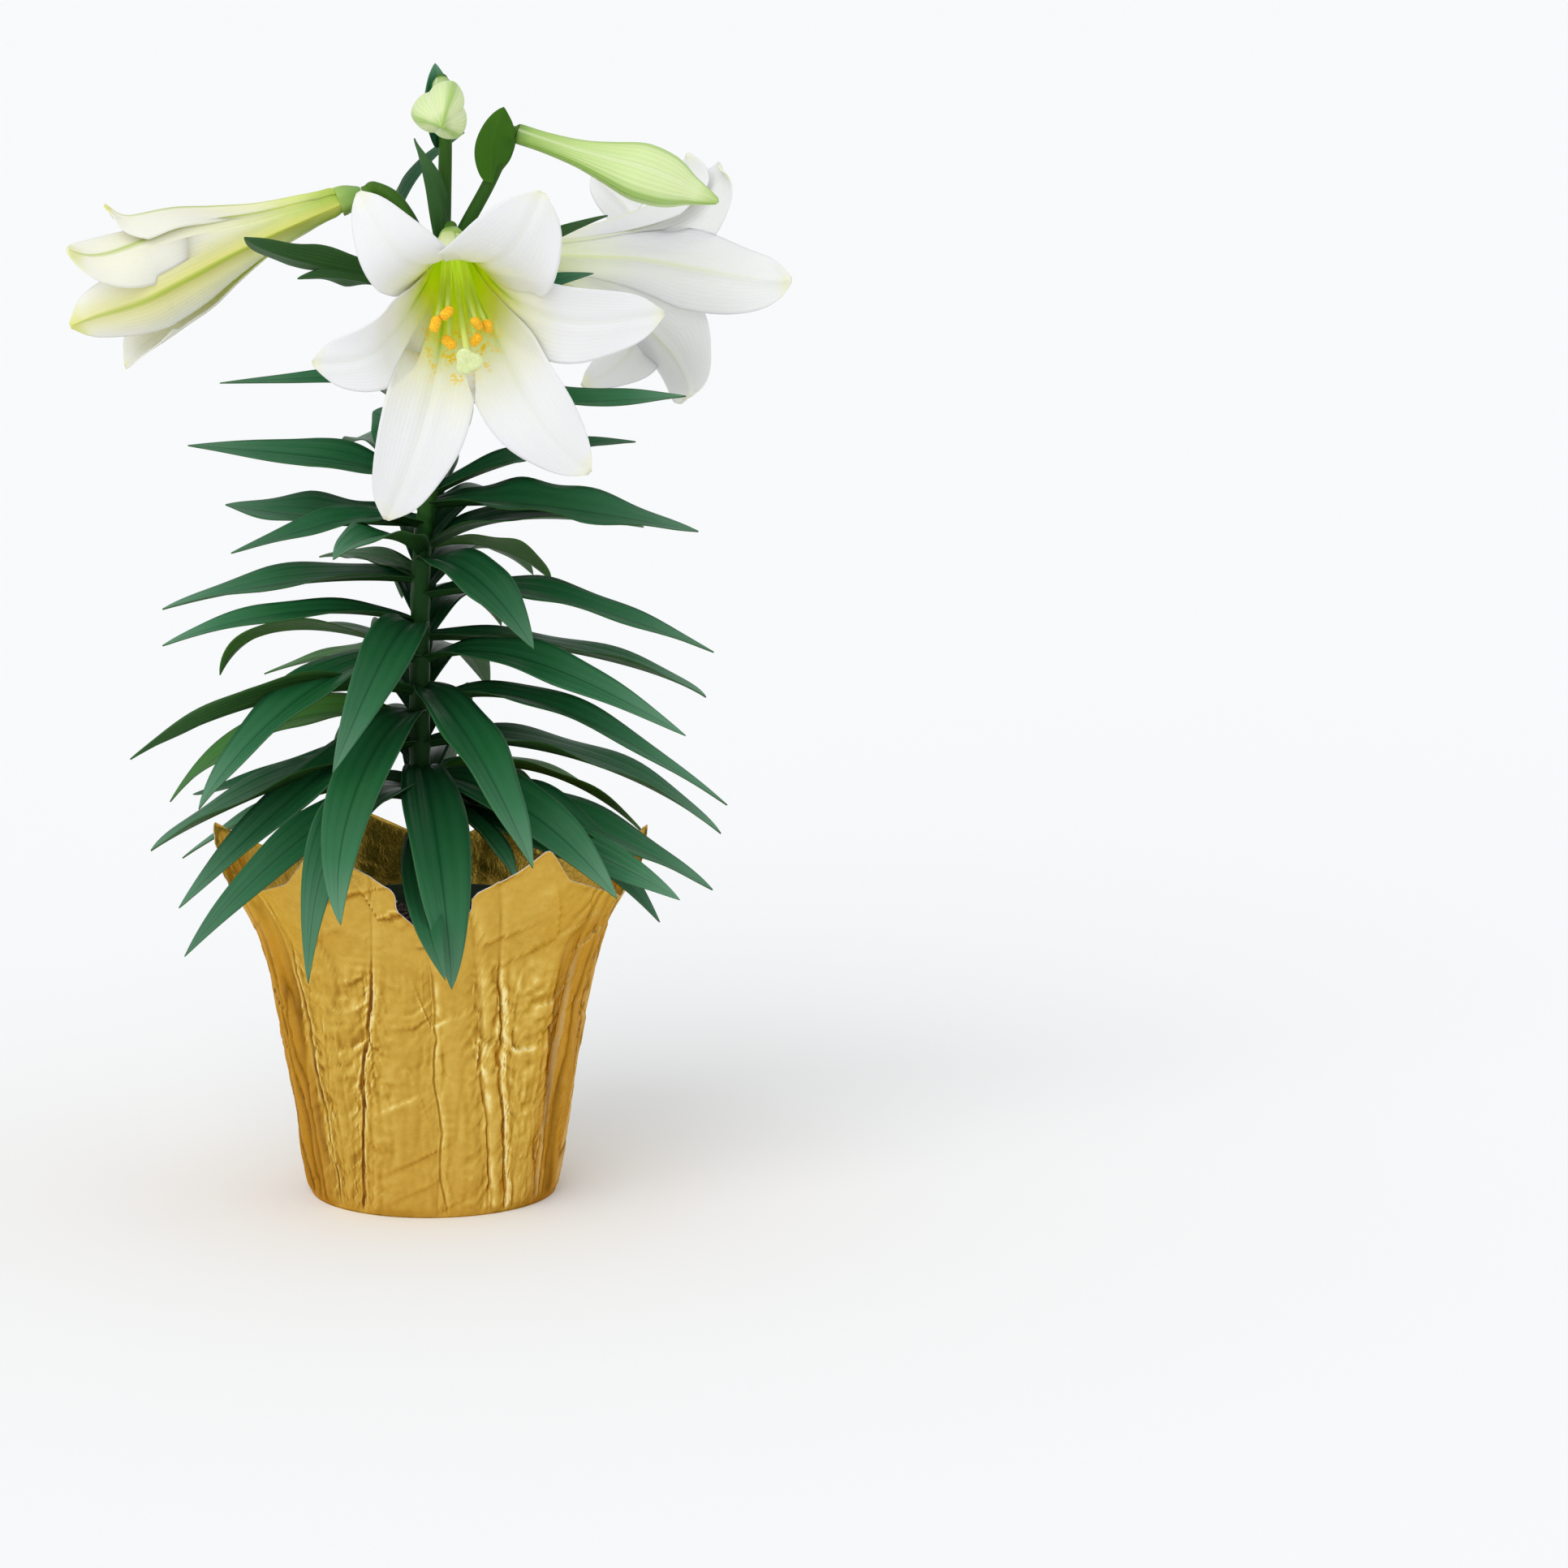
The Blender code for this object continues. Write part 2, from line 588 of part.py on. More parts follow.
TEPAL_ALONG = 8
TEPAL_ACROSS = 4
TEPAL_CUP = 0.006           # how much a spread tepal's edges come forward, as a curvature
TEPAL_LAP = 41.0            # half the angle that a tepal takes round the tube at most
TEPAL_LEAVE = 0.45          # how far a tepal keeps the tube's slope, as a part of its free length
TEPAL_ARRIVE = 0.40         # how far its tip keeps the curl's direction


def tepal_course(tube_line, tip_forward, tip_out, curl, count):
    """Centre line of a tepal as (forward, out): along the tube, then free to its tip."""
    end = np.asarray(tube_line[-1], dtype=float)
    slope = unit(end - np.asarray(tube_line[-2], dtype=float))
    tip = np.array([tip_forward, tip_out], dtype=float)
    span = np.linalg.norm(tip - end)
    turn = math.radians(curl)
    arrive = np.array([math.cos(turn), math.sin(turn)])
    corners = [end, end + slope * span * TEPAL_LEAVE, tip - arrive * span * TEPAL_ARRIVE, tip]
    free = [bezier(corners, share) for share in np.linspace(0, 1, 12)[1:]]
    line = np.vstack([curve_through(tube_line, 16), free])
    lengths = np.concatenate([[0], np.cumsum(np.linalg.norm(np.diff(line, axis=0), axis=1))])
    places = np.linspace(0, lengths[-1], count)
    return np.column_stack([np.interp(places, lengths, line[:, axis]) for axis in range(2)])


def tepal_width(share, width):
    """Width of a spread tepal along its length, broadest where the mouth opens."""
    stops = [0, 0.3, 0.5, 0.62, 0.75, 0.88, 0.95, 1.0]
    parts = [0.30, 0.50, 0.84, 1.0, 0.96, 0.68, 0.42, 0.07]
    return width * np.interp(share, stops, parts)


def tepal(flower, tube_line, angle, inner, tip_forward, tip_out, curl, width, lean=0.0):
    """One tepal: curved round the flower's axis in the tube, flatter where it spreads."""
    base, right, up, axis = flower
    course = tepal_course(tube_line, tip_forward, tip_out, curl, TEPAL_ALONG + 1)
    turn = math.radians(angle)
    out_way = math.cos(turn) * right + math.sin(turn) * up
    side_way = np.cross(axis, out_way)
    mouth = tube_line[-1][0]
    slopes = unit(np.gradient(course, axis=0))
    points = []
    for number, (forward, out) in enumerate(course):
        share = number / TEPAL_ALONG
        spread = float(smooth_step(0.55, 0.85, share))
        parting = 0.5 * (LAYER_GAP + TEPAL_THICKNESS) + 0.8 * spread
        out += -parting if inner else parting
        tangent = slopes[number, 0] * axis + slopes[number, 1] * out_way
        outer = slopes[number, 0] * out_way - slopes[number, 1] * axis
        curvature = slopes[number, 0] / max(2.5, out) + TEPAL_CUP * spread
        half = 0.5 * tepal_width(share, width)
        if forward < mouth:
            half = min(half, max(2.5, out) * math.radians(TEPAL_LAP))
        aslant = side_way * lean * smooth_step(0.4, 1.0, share)
        middle = base + axis * forward + out_way * out + aslant
        inside = []
        outside = []
        for step in range(TEPAL_ACROSS + 1):
            across = half * (2 * step / TEPAL_ACROSS - 1)
            bend = across * curvature
            aside = across * np.sinc(bend / math.pi)
            inward = 0.5 * across * bend * np.sinc(0.5 * bend / math.pi) ** 2
            normal = outer * math.cos(bend) + side_way * math.sin(bend)
            inside.append(middle + side_way * aside - outer * inward)
            outside.append(inside[-1] + normal * TEPAL_THICKNESS)
        points += inside + outside[-2:0:-1]
    loop = 2 * TEPAL_ACROSS
    faces = []
    for row in range(TEPAL_ALONG):
        here = row * loop
        for step in range(loop):
            a = here + step
            b = here + (step + 1) % loop
            mirrored = TEPAL_ACROSS <= step
            if mirrored:
                faces += [(a, b, a + loop), (b, b + loop, a + loop)]
            else:
                faces += [(a, b, b + loop), (a, b + loop, a + loop)]
    last = TEPAL_ALONG * loop
    for start, flip in ((0, True), (last, False)):
        for step in range(TEPAL_ACROSS):
            near = start + step
            far = start + (loop - step) % loop
            cap = [(near, near + 1, far), (near + 1, start + loop - step - 1, far)]
            cap = [face for face in cap if len(set(face)) == 3]
            faces += [tuple(reversed(face)) for face in cap] if flip else cap
    return outward((points, faces))


def receptacle(flower):
    """The green foot of a flower that its tepals grow from."""
    base, _, _, axis = flower
    stops = [(0.0, 3.4), (6.0, 5.9), (RECEPTACLE_LENGTH, 6.9)]
    path = [base + axis * forward for forward, _ in stops]
    return tube(path, [radius for _, radius in stops], 8)


OPEN_TUBE = [(8, 5.4), (28, 7.8), (50, 12.5), (70, 19.0), (85, 26.0), (97, 34.5)]
OPENING_TUBE = [(8, 5.4), (25, 6.6), (46, 10.5), (64, 16.5), (80, 22.5), (97, 26.0)]

# angle, inner layer, tip forward, tip out, curl of the tip, width; then, where a tepal needs it,
# the sideways lean of its tip
FRONT_TEPALS = [
    (124, False, 91, 72, 135, 36, 2),
    (64, True, 116, 79, 115, 52),
    (8, False, 112, 86, 91, 39, -1),
    (-42, True, 119, 83, 83, 41, -8),
    (-110, False, 118, 87, 98, 39, -2),
    (-173, True, 98, 66, 112, 37, 9),
]
RIGHT_TEPALS = [
    (166, False, 125, 60, 70, 39, 12),
    (125, True, 103, 58, 170, 42, -5),
    (80, False, 98, 50, 107, 38, 19),
    (27, True, 104, 85, 66, 32, 4),
    (-60, False, 84, 66, 144, 40),
    (-121, True, 105, 60, 172, 55, 14),
]
LEFT_TEPALS = [
    (-8, False, 141, 14, 14, 39, -4),
    (52, True, 130, 43, 59, 42, -9),
    (88, False, 108, 36, 60, 46, -8),
    (150, True, 126, 24, 30, 36),
    (205, False, 130, 26, 30, 38),
    (247, True, 126, 36, 47, 46, 7),
]


def bloom(name, flower, tube_line, tepals, finish):
    """A trumpet's six tepals on their foot."""
    solids = [receptacle(flower)]
    solids += [tepal(flower, tube_line, *row) for row in tepals]
    return fuse(name, solids, finish)


# Stamens and pistil: they stand on the bottom of the trumpet and reach to its mouth.

FRONT_STAMENS = [(162, 11), (128, 9), (26, 8), (4, 12), (-32, 8), (-124, 8)]
EVEN_STAMENS = [(30 + 60 * number, 9) for number in range(6)]
FILAMENT_RADIUS = 0.9
STYLE_RADIUS = 1.3
STYLE_BEND = (3.0, -9.0)     # how far the pistil's head hangs aside and down
ANTHER_LENGTH = 6.8
ANTHER_RADIUS = 2.1


def stigma(middle, right, up, axis):
    """The blunt three-lobed head of the pistil."""
    sides = 12
    points = [middle - axis * 2.5]
    for forward, size in ((0.5, 4.4), (3.2, 5.6)):
        for step in range(sides):
            angle = 2 * math.pi * step / sides
            out = size * (1 + 0.28 * math.cos(3 * angle))
            points.append(middle + axis * forward
                          + (right * math.cos(angle) + up * math.sin(angle)) * out)
    points.append(middle + axis * 3.6)
    faces = []
    for step in range(sides):
        a, b = 1 + step, 1 + (step + 1) % sides
        faces += [(0, b, a), (a, b, b + sides), (a, b + sides, a + sides)]
        faces.append((a + sides, b + sides, 1 + 2 * sides))
    return outward((points, faces))


def stamens(name, flower, places, length, finish):
    """Six stamens and the longer pistil, joined at a small disc."""
    base, right, up, axis = flower
    foot = RECEPTACLE_LENGTH + CLEARANCE

    def point(forward, sideways, rise):
        return base + axis * forward + right * sideways + up * rise

    solids = [tube([point(foot, 0, 0), point(foot + 2.5, 0, 0)], [4.2, 3.6], 6)]
    for number, (angle, spread) in enumerate(places):
        way = np.array([math.cos(math.radians(angle)), math.sin(math.radians(angle))])
        reach = length - 3 * (number % 2)
        stops = [(foot + 1.0, 2.6), (foot + 0.35 * reach, 0.36 * spread + 1.2),
                 (foot + 0.75 * reach, 0.66 * spread + 0.8), (foot + reach, spread)]
        knots = [point(forward, *(way * out)) for forward, out in stops]
        solids.append(tube(curve_through(knots, 5), [FILAMENT_RADIUS] * 5, 3))
        tip = knots[-1]
        lay = unit(np.cross(axis, point(0, *way) - base) + 0.5 * axis)
        shape = [(-0.5, 0.35), (-0.25, 1.0), (0.25, 1.0), (0.5, 0.35)]
        anther = [tip + lay * ANTHER_LENGTH * stop for stop, _ in shape]
        solids.append(tube(anther, [ANTHER_RADIUS * size for _, size in shape], 5))
    reach = length + 20
    style = [point(foot + 1.0, 0, 0), point(foot + 0.5 * reach, 1, -1), point(foot + reach, *STYLE_BEND)]
    solids.append(tube(curve_through(style, 5), [STYLE_RADIUS] * 5, 4))
    solids.append(stigma(point(foot + reach, *STYLE_BEND), right, up, axis))
    return fuse(name, solids, finish)


# Buds: closed trumpets, three-sided in section, with a groove between their tepals.

BUD_RIDGE = 0.12            # how far a bud's three ribs stand out, as a part of its radius


def bud(name, flower, length, radius, roll, finish):
    """A closed bud, thin at its stalk and thickest near its blunt tip; roll turns its ribs."""
    base, right, up, axis = flower
    stops = [0.0, 0.14, 0.31, 0.46, 0.58, 0.66, 0.75, 0.81, 0.86, 0.92, 1.0]
    sizes = [0.36, 0.37, 0.49, 0.74, 0.97, 1.0, 0.91, 0.75, 0.55, 0.37, 0.13]
    sides = 15
    points = [base]
    for stop, size in zip(stops, sizes):
        for step in range(sides):
            angle = 2 * math.pi * step / sides
            ridge = 1 + BUD_RIDGE * math.cos(3 * (angle - math.radians(roll)))
            out = radius * size * (1 + (ridge - 1) * min(1.0, 2 * stop))
            points.append(base + axis * length * stop
                          + (right * math.cos(angle) + up * math.sin(angle)) * out)
    points.append(base + axis * (length + 1.0))
    faces = []
    last = 1 + (len(stops) - 1) * sides
    for step in range(sides):
        following = (step + 1) % sides
        faces.append((0, 1 + following, 1 + step))
        for ring in range(len(stops) - 1):
            a = 1 + ring * sides + step
            b = 1 + ring * sides + following
            faces += [(a, b, b + sides), (a, b + sides, a + sides)]
        faces.append((last + step, last + following, last + sides))
    closed = add_object(name, outward((points, faces)), finish)
    closed.data.shade_smooth()
    return closed


def build():
    """Make every piece of the potted plant."""
    clear_scene()
    gold = material("gold_foil", (0.62, 0.38, 0.06), 0.35, 0.9)
    plastic = material("pot_plastic", (0.03, 0.08, 0.04), 0.5)
    peat = material("potting_mix", (0.05, 0.03, 0.02), 0.95)
    green = material("leaf_green", (0.02, 0.13, 0.05), 0.4)
    white = material("tepal_white", (0.87, 0.87, 0.84), 0.5)
    cream = material("opening_cream", (0.84, 0.84, 0.60), 0.5)
    pollen = material("pollen_and_filament", (0.86, 0.42, 0.05), 0.7)
    bud_green = material("bud_green", (0.55, 0.70, 0.28), 0.5)
    foil_cover(gold)
    pot(plastic)
    soil(peat)
    leafy_stem(green)
    bloom("front_bloom", FRONT_BLOOM, OPEN_TUBE, FRONT_TEPALS, white)
    bloom("right_bloom", RIGHT_BLOOM, OPEN_TUBE, RIGHT_TEPALS, white)
    bloom("left_bloom", LEFT_BLOOM, OPENING_TUBE, LEFT_TEPALS, cream)
    stamens("front_stamens", FRONT_BLOOM, FRONT_STAMENS, 92, pollen)
    stamens("right_stamens", RIGHT_BLOOM, EVEN_STAMENS, 92, pollen)
    stamens("left_stamens", LEFT_BLOOM, EVEN_STAMENS, 88, pollen)
    bud("right_bud", RIGHT_BUD, 93, 12.6, 90, bud_green)
    bud("top_bud", TOP_BUD, 78, 11.6, 67, bud_green)


build()
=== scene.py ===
import math
import random

import bpy
import numpy as np
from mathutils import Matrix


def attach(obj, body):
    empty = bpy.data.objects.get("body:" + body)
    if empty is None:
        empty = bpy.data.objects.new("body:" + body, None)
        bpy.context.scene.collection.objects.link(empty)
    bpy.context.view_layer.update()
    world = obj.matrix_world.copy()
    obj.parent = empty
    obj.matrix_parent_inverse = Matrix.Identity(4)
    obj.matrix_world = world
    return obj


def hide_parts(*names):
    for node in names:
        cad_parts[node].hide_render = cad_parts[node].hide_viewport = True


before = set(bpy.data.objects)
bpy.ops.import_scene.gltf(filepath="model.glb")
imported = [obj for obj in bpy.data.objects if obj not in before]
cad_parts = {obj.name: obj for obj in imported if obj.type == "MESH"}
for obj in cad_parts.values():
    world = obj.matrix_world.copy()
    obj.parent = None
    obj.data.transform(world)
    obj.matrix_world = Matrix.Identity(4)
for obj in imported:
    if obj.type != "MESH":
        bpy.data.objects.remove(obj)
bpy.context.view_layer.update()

MM = 0.001                  # the sizes below are millimetres and degrees
CLEARANCE = 0.3             # air between two pieces that touch

# Camera
# A long lens about 2.9 m in front of the plant and a little above its blooms looks down at it,
# so that the plant stands left of the middle of the picture.

CAMERA_PLACE = (0.1595, -2.907, 0.7627)     # metres
CAMERA_DOWN = 11.2          # how far it looks down
SENSOR_WIDTH = 36.0
LENS = 151.1

camera_data = bpy.data.cameras.new("camera")
camera_data.sensor_width = SENSOR_WIDTH
camera_data.lens = LENS
camera_data.clip_end = 100.0
camera = bpy.data.objects.new("camera", camera_data)
camera.location = CAMERA_PLACE
camera.rotation_euler = (math.radians(90 - CAMERA_DOWN), 0.0, 0.0)
bpy.context.scene.collection.objects.link(camera)
bpy.context.scene.camera = camera


# Floor and light
# A seamless pale studio floor under an even white sky, with one broad soft light from the upper
# left that gives the petals, the leaves and the foil their shading.

FLOOR_SIDE = 60.0           # metres
SKY_COLOUR = (0.97, 0.985, 1.0)
SKY_STRENGTH = 0.80
SUN_STRENGTH = 1.15
SUN_SPREAD = 50.0           # how wide the light is, and so how soft its shadows are
SUN_TURN = (math.radians(42), math.radians(-26), 0.0)

bpy.context.scene.view_settings.view_transform = "Standard"


class Value:
    """A number or a colour that shader nodes work out, with the signs of arithmetic for numbers."""

    def __init__(self, paint, socket):
        self.paint = paint
        self.socket = socket

    def math(self, operation, *others):
        return self.paint.node("ShaderNodeMath", dict(enumerate((self, *others))), operation=operation)

    def __add__(self, other):
        return self.math("ADD", other)

    def __sub__(self, other):
        return self.math("SUBTRACT", other)

    def __mul__(self, other):
        return self.math("MULTIPLY", other)

    def __pow__(self, power):
        return self.math("POWER", power)

    def __abs__(self):
        return self.math("ABSOLUTE")

    def sine(self, times):
        return (self * times).math("SINE")

    def band(self, narrowness):
        """1 where the value is 0, falling to 0 at 1 / narrowness."""
        inverse = self.paint.node("ShaderNodeMath", {0: 1.0, 1: self * narrowness}, operation="SUBTRACT")
        return inverse.math("MAXIMUM", 0.0)

    def between(self, low, high, first=0.0, last=1.0):
        """Runs from the first to the last number while the value runs from low to high."""
        limits = {"From Min": low, "From Max": high, "To Min": first, "To Max": last}
        return self.paint.node("ShaderNodeMapRange", {"Value": self, **limits})


class Paint:
    """A material and the shader nodes that make its look."""

    def __init__(self, name):
        self.material = bpy.data.materials.new(name)
        self.material.use_nodes = True
        self.tree = self.material.node_tree
        self.shader = self.tree.nodes["Principled BSDF"]

    def plug(self, target, inputs):
        """Links or sets the inputs of a node."""
        for key, value in inputs.items():
            if isinstance(value, Value):
                self.tree.links.new(value.socket, target.inputs[key])
            else:
                target.inputs[key].default_value = value

    def coat(self, inputs):
        """The material, once its shader's inputs are linked or set."""
        self.plug(self.shader, inputs)
        return self.material

    def node(self, kind, inputs, output=0, **settings):
        """What a new shader node works out from its settings and inputs."""
        made = self.tree.nodes.new(kind)
        for name, value in settings.items():
            setattr(made, name, value)
        self.plug(made, inputs)
        return Value(self, made.outputs[output])

    def reading(self, name):
        """A number that the mesh carries at each point."""
        return self.node("ShaderNodeAttribute", {}, "Fac", attribute_name=name)

    def place(self):
        """The place in the object's own coordinates, in metres."""
        return self.node("ShaderNodeTexCoord", {}, "Object")

    def grain(self, scale, detail=3.0, stretch=None):
        """Noise over the object, with features of about 1 / scale metres."""
        place = self.place()
        if stretch:
            place = self.node("ShaderNodeMapping", {"Vector": place, "Scale": stretch})
        return self.node("ShaderNodeTexNoise", {"Vector": place, "Scale": scale, "Detail": detail}, "Fac")

    def ramp(self, factor, *stops):
        """A colour that runs through (place, colour) stops."""
        made = self.node("ShaderNodeValToRGB", {"Fac": factor})
        elements = made.socket.node.color_ramp.elements
        while len(elements) < len(stops):
            elements.new(0.5)
        for element, (place, colour) in zip(elements, stops):
            element.position = place
            element.color = (*colour, 1.0)
        return made

    def mix(self, factor, first, second):
        """The first colour with a share of the second."""
        return self.node("ShaderNodeMix", {0: factor, 6: first, 7: (*second, 1.0)}, 2, data_type="RGBA")

    def bump(self, height, strength, distance):
        """Adds relief to the shader, over any relief that it has."""
        made = self.node("ShaderNodeBump", {"Height": height, "Strength": strength, "Distance": distance})
        normal = self.shader.inputs["Normal"]
        if normal.is_linked:
            self.tree.links.new(normal.links[0].from_socket, made.socket.node.inputs["Normal"])
        self.tree.links.new(made.socket, normal)


def grainy(name, noise, stops, roughness, relief=None):
    """A finish that noise colours, with finer noise as its relief."""
    paint = Paint(name)
    colour = paint.ramp(paint.grain(*noise), *stops)
    if relief:
        fine, strength, distance = relief
        paint.bump(paint.grain(*fine), strength, distance)
    return paint.coat({"Base Color": colour, "Roughness": roughness})


corners = [(x * FLOOR_SIDE / 2, y * FLOOR_SIDE / 2, 0) for x, y in ((-1, -1), (1, -1), (1, 1), (-1, 1))]
floor_mesh = bpy.data.meshes.new("floor")
floor_mesh.from_pydata(corners, [], [(0, 1, 2, 3)])
floor = bpy.data.objects.new("floor", floor_mesh)
bpy.context.scene.collection.objects.link(floor)
floor_mesh.materials.append(Paint("floor_paint").coat(
    {"Base Color": (0.93, 0.93, 0.93, 1.0), "Roughness": 0.9, "Specular IOR Level": 0.1}))

world = bpy.data.worlds.new("studio")
bpy.context.scene.world = world
world.use_nodes = True
sky = world.node_tree.nodes["Background"]
sky.inputs["Color"].default_value = (*SKY_COLOUR, 1.0)
sky.inputs["Strength"].default_value = SKY_STRENGTH

sun_data = bpy.data.lights.new("key_light", "SUN")
sun_data.energy = SUN_STRENGTH
sun_data.angle = math.radians(SUN_SPREAD)
sun = bpy.data.objects.new("key_light", sun_data)
sun.rotation_euler = SUN_TURN
bpy.context.scene.collection.objects.link(sun)


# Foil cover
# One sheet of gold metallised film, crimped hot into pleats round the pot. It has a flat floor,
# deep folded seams, fine wrinkles between them and a flared rim cut to petals.

COVER_FOOT_RADIUS = 55.5
COVER_NOTCH_HEIGHT = 131.0
COVER_PETAL_HEIGHT = 178.0
COVER_FRONT = 270.0         # the direction of the cover's front
FILM_THICKNESS = 0.3
COVER_PROFILE = [           # (height, radius)
    (0, COVER_FOOT_RADIUS), (30, 60.5), (60, 65.0), (96, 71.0), (114, 75.6), (127, 80.5),
    (137, 86), (147, 91), (160, 96), (178, 101),
]
COVER_SEAMS = [             # the pleats' azimuths from the front, at the foot and at the rim
    (-170, -170), (-148, -148), (-125, -125), (-102, -102), (-74, -80), (-45, -50),
    (-32, -12), (8, 1), (30, 14), (37, 21), (53, 60), (80, 86),
    (102, 102), (125, 125), (148, 148), (168, 168),
]
SEAM_DEPTHS = [1, 1, 1, 1, 1, 1.5, 1.2, 0.4, 0.5, 1.2, 1.4, 1, 1, 1, 1, 1]      # of each seam in turn
COVER_RIM = [               # the rim's azimuths from the front and heights, notch and tip in turn
    (0, 138), (5, COVER_NOTCH_HEIGHT), (14.5, 148), (16.5, 157), (21, 161), (27, 166), (34, 175),
    (42, 158), (54, 151), (78, 139), (98, 166), (122, 148), (150, 163), (180, 140), (210, 163),
    (238, 148), (262, 167), (286, 146), (307, 149), (322, 157), (334, COVER_PETAL_HEIGHT),
    (348.5, 164), (352, 157), (353.5, 149), (360, 138),
]
RIM_HOOKS = [(-8.5, 1.8), (16.0, -1.8)]     # where the rim overhangs the front notch, and by how much
FRONT_STEP = 1.0            # millimetres from one column of points to the next at the front
BACK_STEP = 2.1
COVER_ROWS = 118
PROFILE_STEPS = 200
ROUNDING = 6                # steps of the profile, to each side, that round its corners
COVER_MIDDLE_RADIUS = 72.0
BUNCHING = 0.08             # how much closer the columns stand at the seams
PANEL_BULGE = 1.1
RELIEF_IN = 1.3             # the furthest that the film's relief sinks in and stands out
RELIEF_OUT = 2.4
CRUMPLED = 0.52             # heights of the four kinds of crinkle
FINE = 0.20
STREAKY = 0.50
LARGE = 0.60
CRINKLED_FROM = 50.0        # degrees from the front where the fine upright wrinkles begin
CRINKLED_TO = 98.0
NOISE_CELLS = 64            # noise repeats after this many bumps
PUFFS = [                   # small pillows pressed into the film: azimuth, height, size, rise
    (-36, 97, 5.0, 0.9), (-33, 88, 3.6, 0.7), (-39, 79, 3.2, 0.5), (37, 97, 4.5, 0.8),
    (34, 87, 3.6, 0.7), (40, 76, 3.0, 0.5), (-20, 118, 7.0, 0.6), (24, 117, 7.0, 0.6),
    (-12, 60, 5.0, 0.3), (10, 44, 6.0, 0.3),
]


def soft_noise(x, y, seed):
    """Smooth noise from -1 to 1 on two arrays of coordinates, one bump to each unit."""
    table = np.random.default_rng(seed).random((NOISE_CELLS, NOISE_CELLS)) * 2 - 1
    left = np.floor(x).astype(int)
    low = np.floor(y).astype(int)
    across = x - left
    up = y - low
    across = across * across * (3 - 2 * across)
    up = up * up * (3 - 2 * up)
    left, right, low, high = (cell % NOISE_CELLS for cell in (left, left + 1, low, low + 1))
    near = table[left, low] * (1 - across) + table[right, low] * across
    far = table[left, high] * (1 - across) + table[right, high] * across
    return near * (1 - up) + far * up


def smooth_step(low, high, value):
    """Rise from 0 at low to 1 at high."""
    t = np.clip((np.asarray(value, dtype=float) - low) / (high - low), 0.0, 1.0)
    return t * t * (3 - 2 * t)


def hump(distance, width):
    """A smooth bump, 1 at distance 0 and almost 0 past the width."""
    return np.exp(-(np.asarray(distance) / width) ** 2 * 2.5)


def make_piece(name, points, faces, finishes, nodes=(), readings=(), finish_of=None):
    """A piece of the plant from points in millimetres, riding on the frame's one body."""
    mesh = bpy.data.meshes.new(name)
    mesh.from_pydata((np.asarray(points, dtype=float) * MM).tolist(), [], faces)
    mesh.update()
    for finish in finishes:
        mesh.materials.append(finish)
    if finish_of is not None:
        mesh.polygons.foreach_set("material_index", np.asarray(finish_of, dtype=np.int32))
    for key, values in dict(readings).items():
        layer = mesh.attributes.new(key, "FLOAT", "POINT")
        layer.data.foreach_set("value", np.asarray(values, dtype=np.float32))
    mesh.shade_smooth()
    piece = bpy.data.objects.new(name, mesh)
    bpy.context.scene.collection.objects.link(piece)
    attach(piece, "root")
    if nodes:
        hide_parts(*nodes)
    return piece


def grid_faces(rows, columns):
    """Quads of a grid of points, rows one after another, each row joined round."""
    row, column = np.meshgrid(np.arange(rows - 1), np.arange(columns), indexing="ij")
    here = row * columns + column
    beside = row * columns + (column + 1) % columns
    return np.stack([here, beside, beside + columns, here + columns], axis=-1).reshape(-1, 4).tolist()


def facets(x, y, seed, roundness, tilt):
    """Crumpled relief round zero: cells one unit wide, each a tilted and slightly domed face."""
    draw = np.random.default_rng(seed)
    table = draw.random((5, NOISE_CELLS, NOISE_CELLS))
    left = np.floor(x).astype(int)
    low = np.floor(y).astype(int)
    highest = np.full(np.shape(x), -9.0)
    for across in (-1, 0, 1):
        for up in (-1, 0, 1):
            i, j = (left + across) % NOISE_CELLS, (low + up) % NOISE_CELLS
            aside = x - (left + across + table[0][i, j])
            above = y - (low + up + table[1][i, j])
            slope = (2 * table[3][i, j] - 1) * aside + (2 * table[4][i, j] - 1) * above
            face = 0.5 * table[2][i, j] + tilt * slope
            highest = np.maximum(highest, face - roundness * (aside * aside + above * above))
    return 2 * (highest - highest.mean())


def arc_length(degrees):
    """Length round the cover at its middle radius."""
    return degrees * math.pi / 180 * COVER_MIDDLE_RADIUS


def cover_rim_height(around):
    """The rim's height at an azimuth from the front, with slightly rounded corners."""
    places, heights = zip(*COVER_RIM)
    steps = (-1.2, -0.6, 0.0, 0.6, 1.2)
    return sum(np.interp((around + step) % 360, places, heights) for step in steps) / len(steps)


def cover_grid():
    """Azimuth, height, distance past one seam and to the next, bulge and both seams' depths."""
    share = np.linspace(0, 1, COVER_ROWS)[:, None]
    panels = []
    for number, (foot, rim) in enumerate(COVER_SEAMS):
        following = (number + 1) % len(COVER_SEAMS)
        foot_width = (COVER_SEAMS[following][0] - foot) % 360
        rim_width = (COVER_SEAMS[following][1] - rim) % 360
        step = FRONT_STEP if abs(foot + foot_width / 2) < 92 else BACK_STEP
        columns = round(arc_length(max(foot_width, rim_width)) / step)
        t = np.arange(columns) / columns
        t = t - BUNCHING * np.sin(2 * math.pi * t)
        foot_place = foot + foot_width * t
        rim_place = rim + rim_width * t
        width = arc_length(foot_width + (rim_width - foot_width) * share)
        depths = [np.full((1, columns), SEAM_DEPTHS[seam]) for seam in (number, following)]
        panels.append([foot_place + (rim_place - foot_place) * share, share * cover_rim_height(rim_place),
                       t * width, (1 - t) * width, np.sin(math.pi * t)[None, :], *depths])
    return [np.hstack(parts) for parts in zip(*panels)]


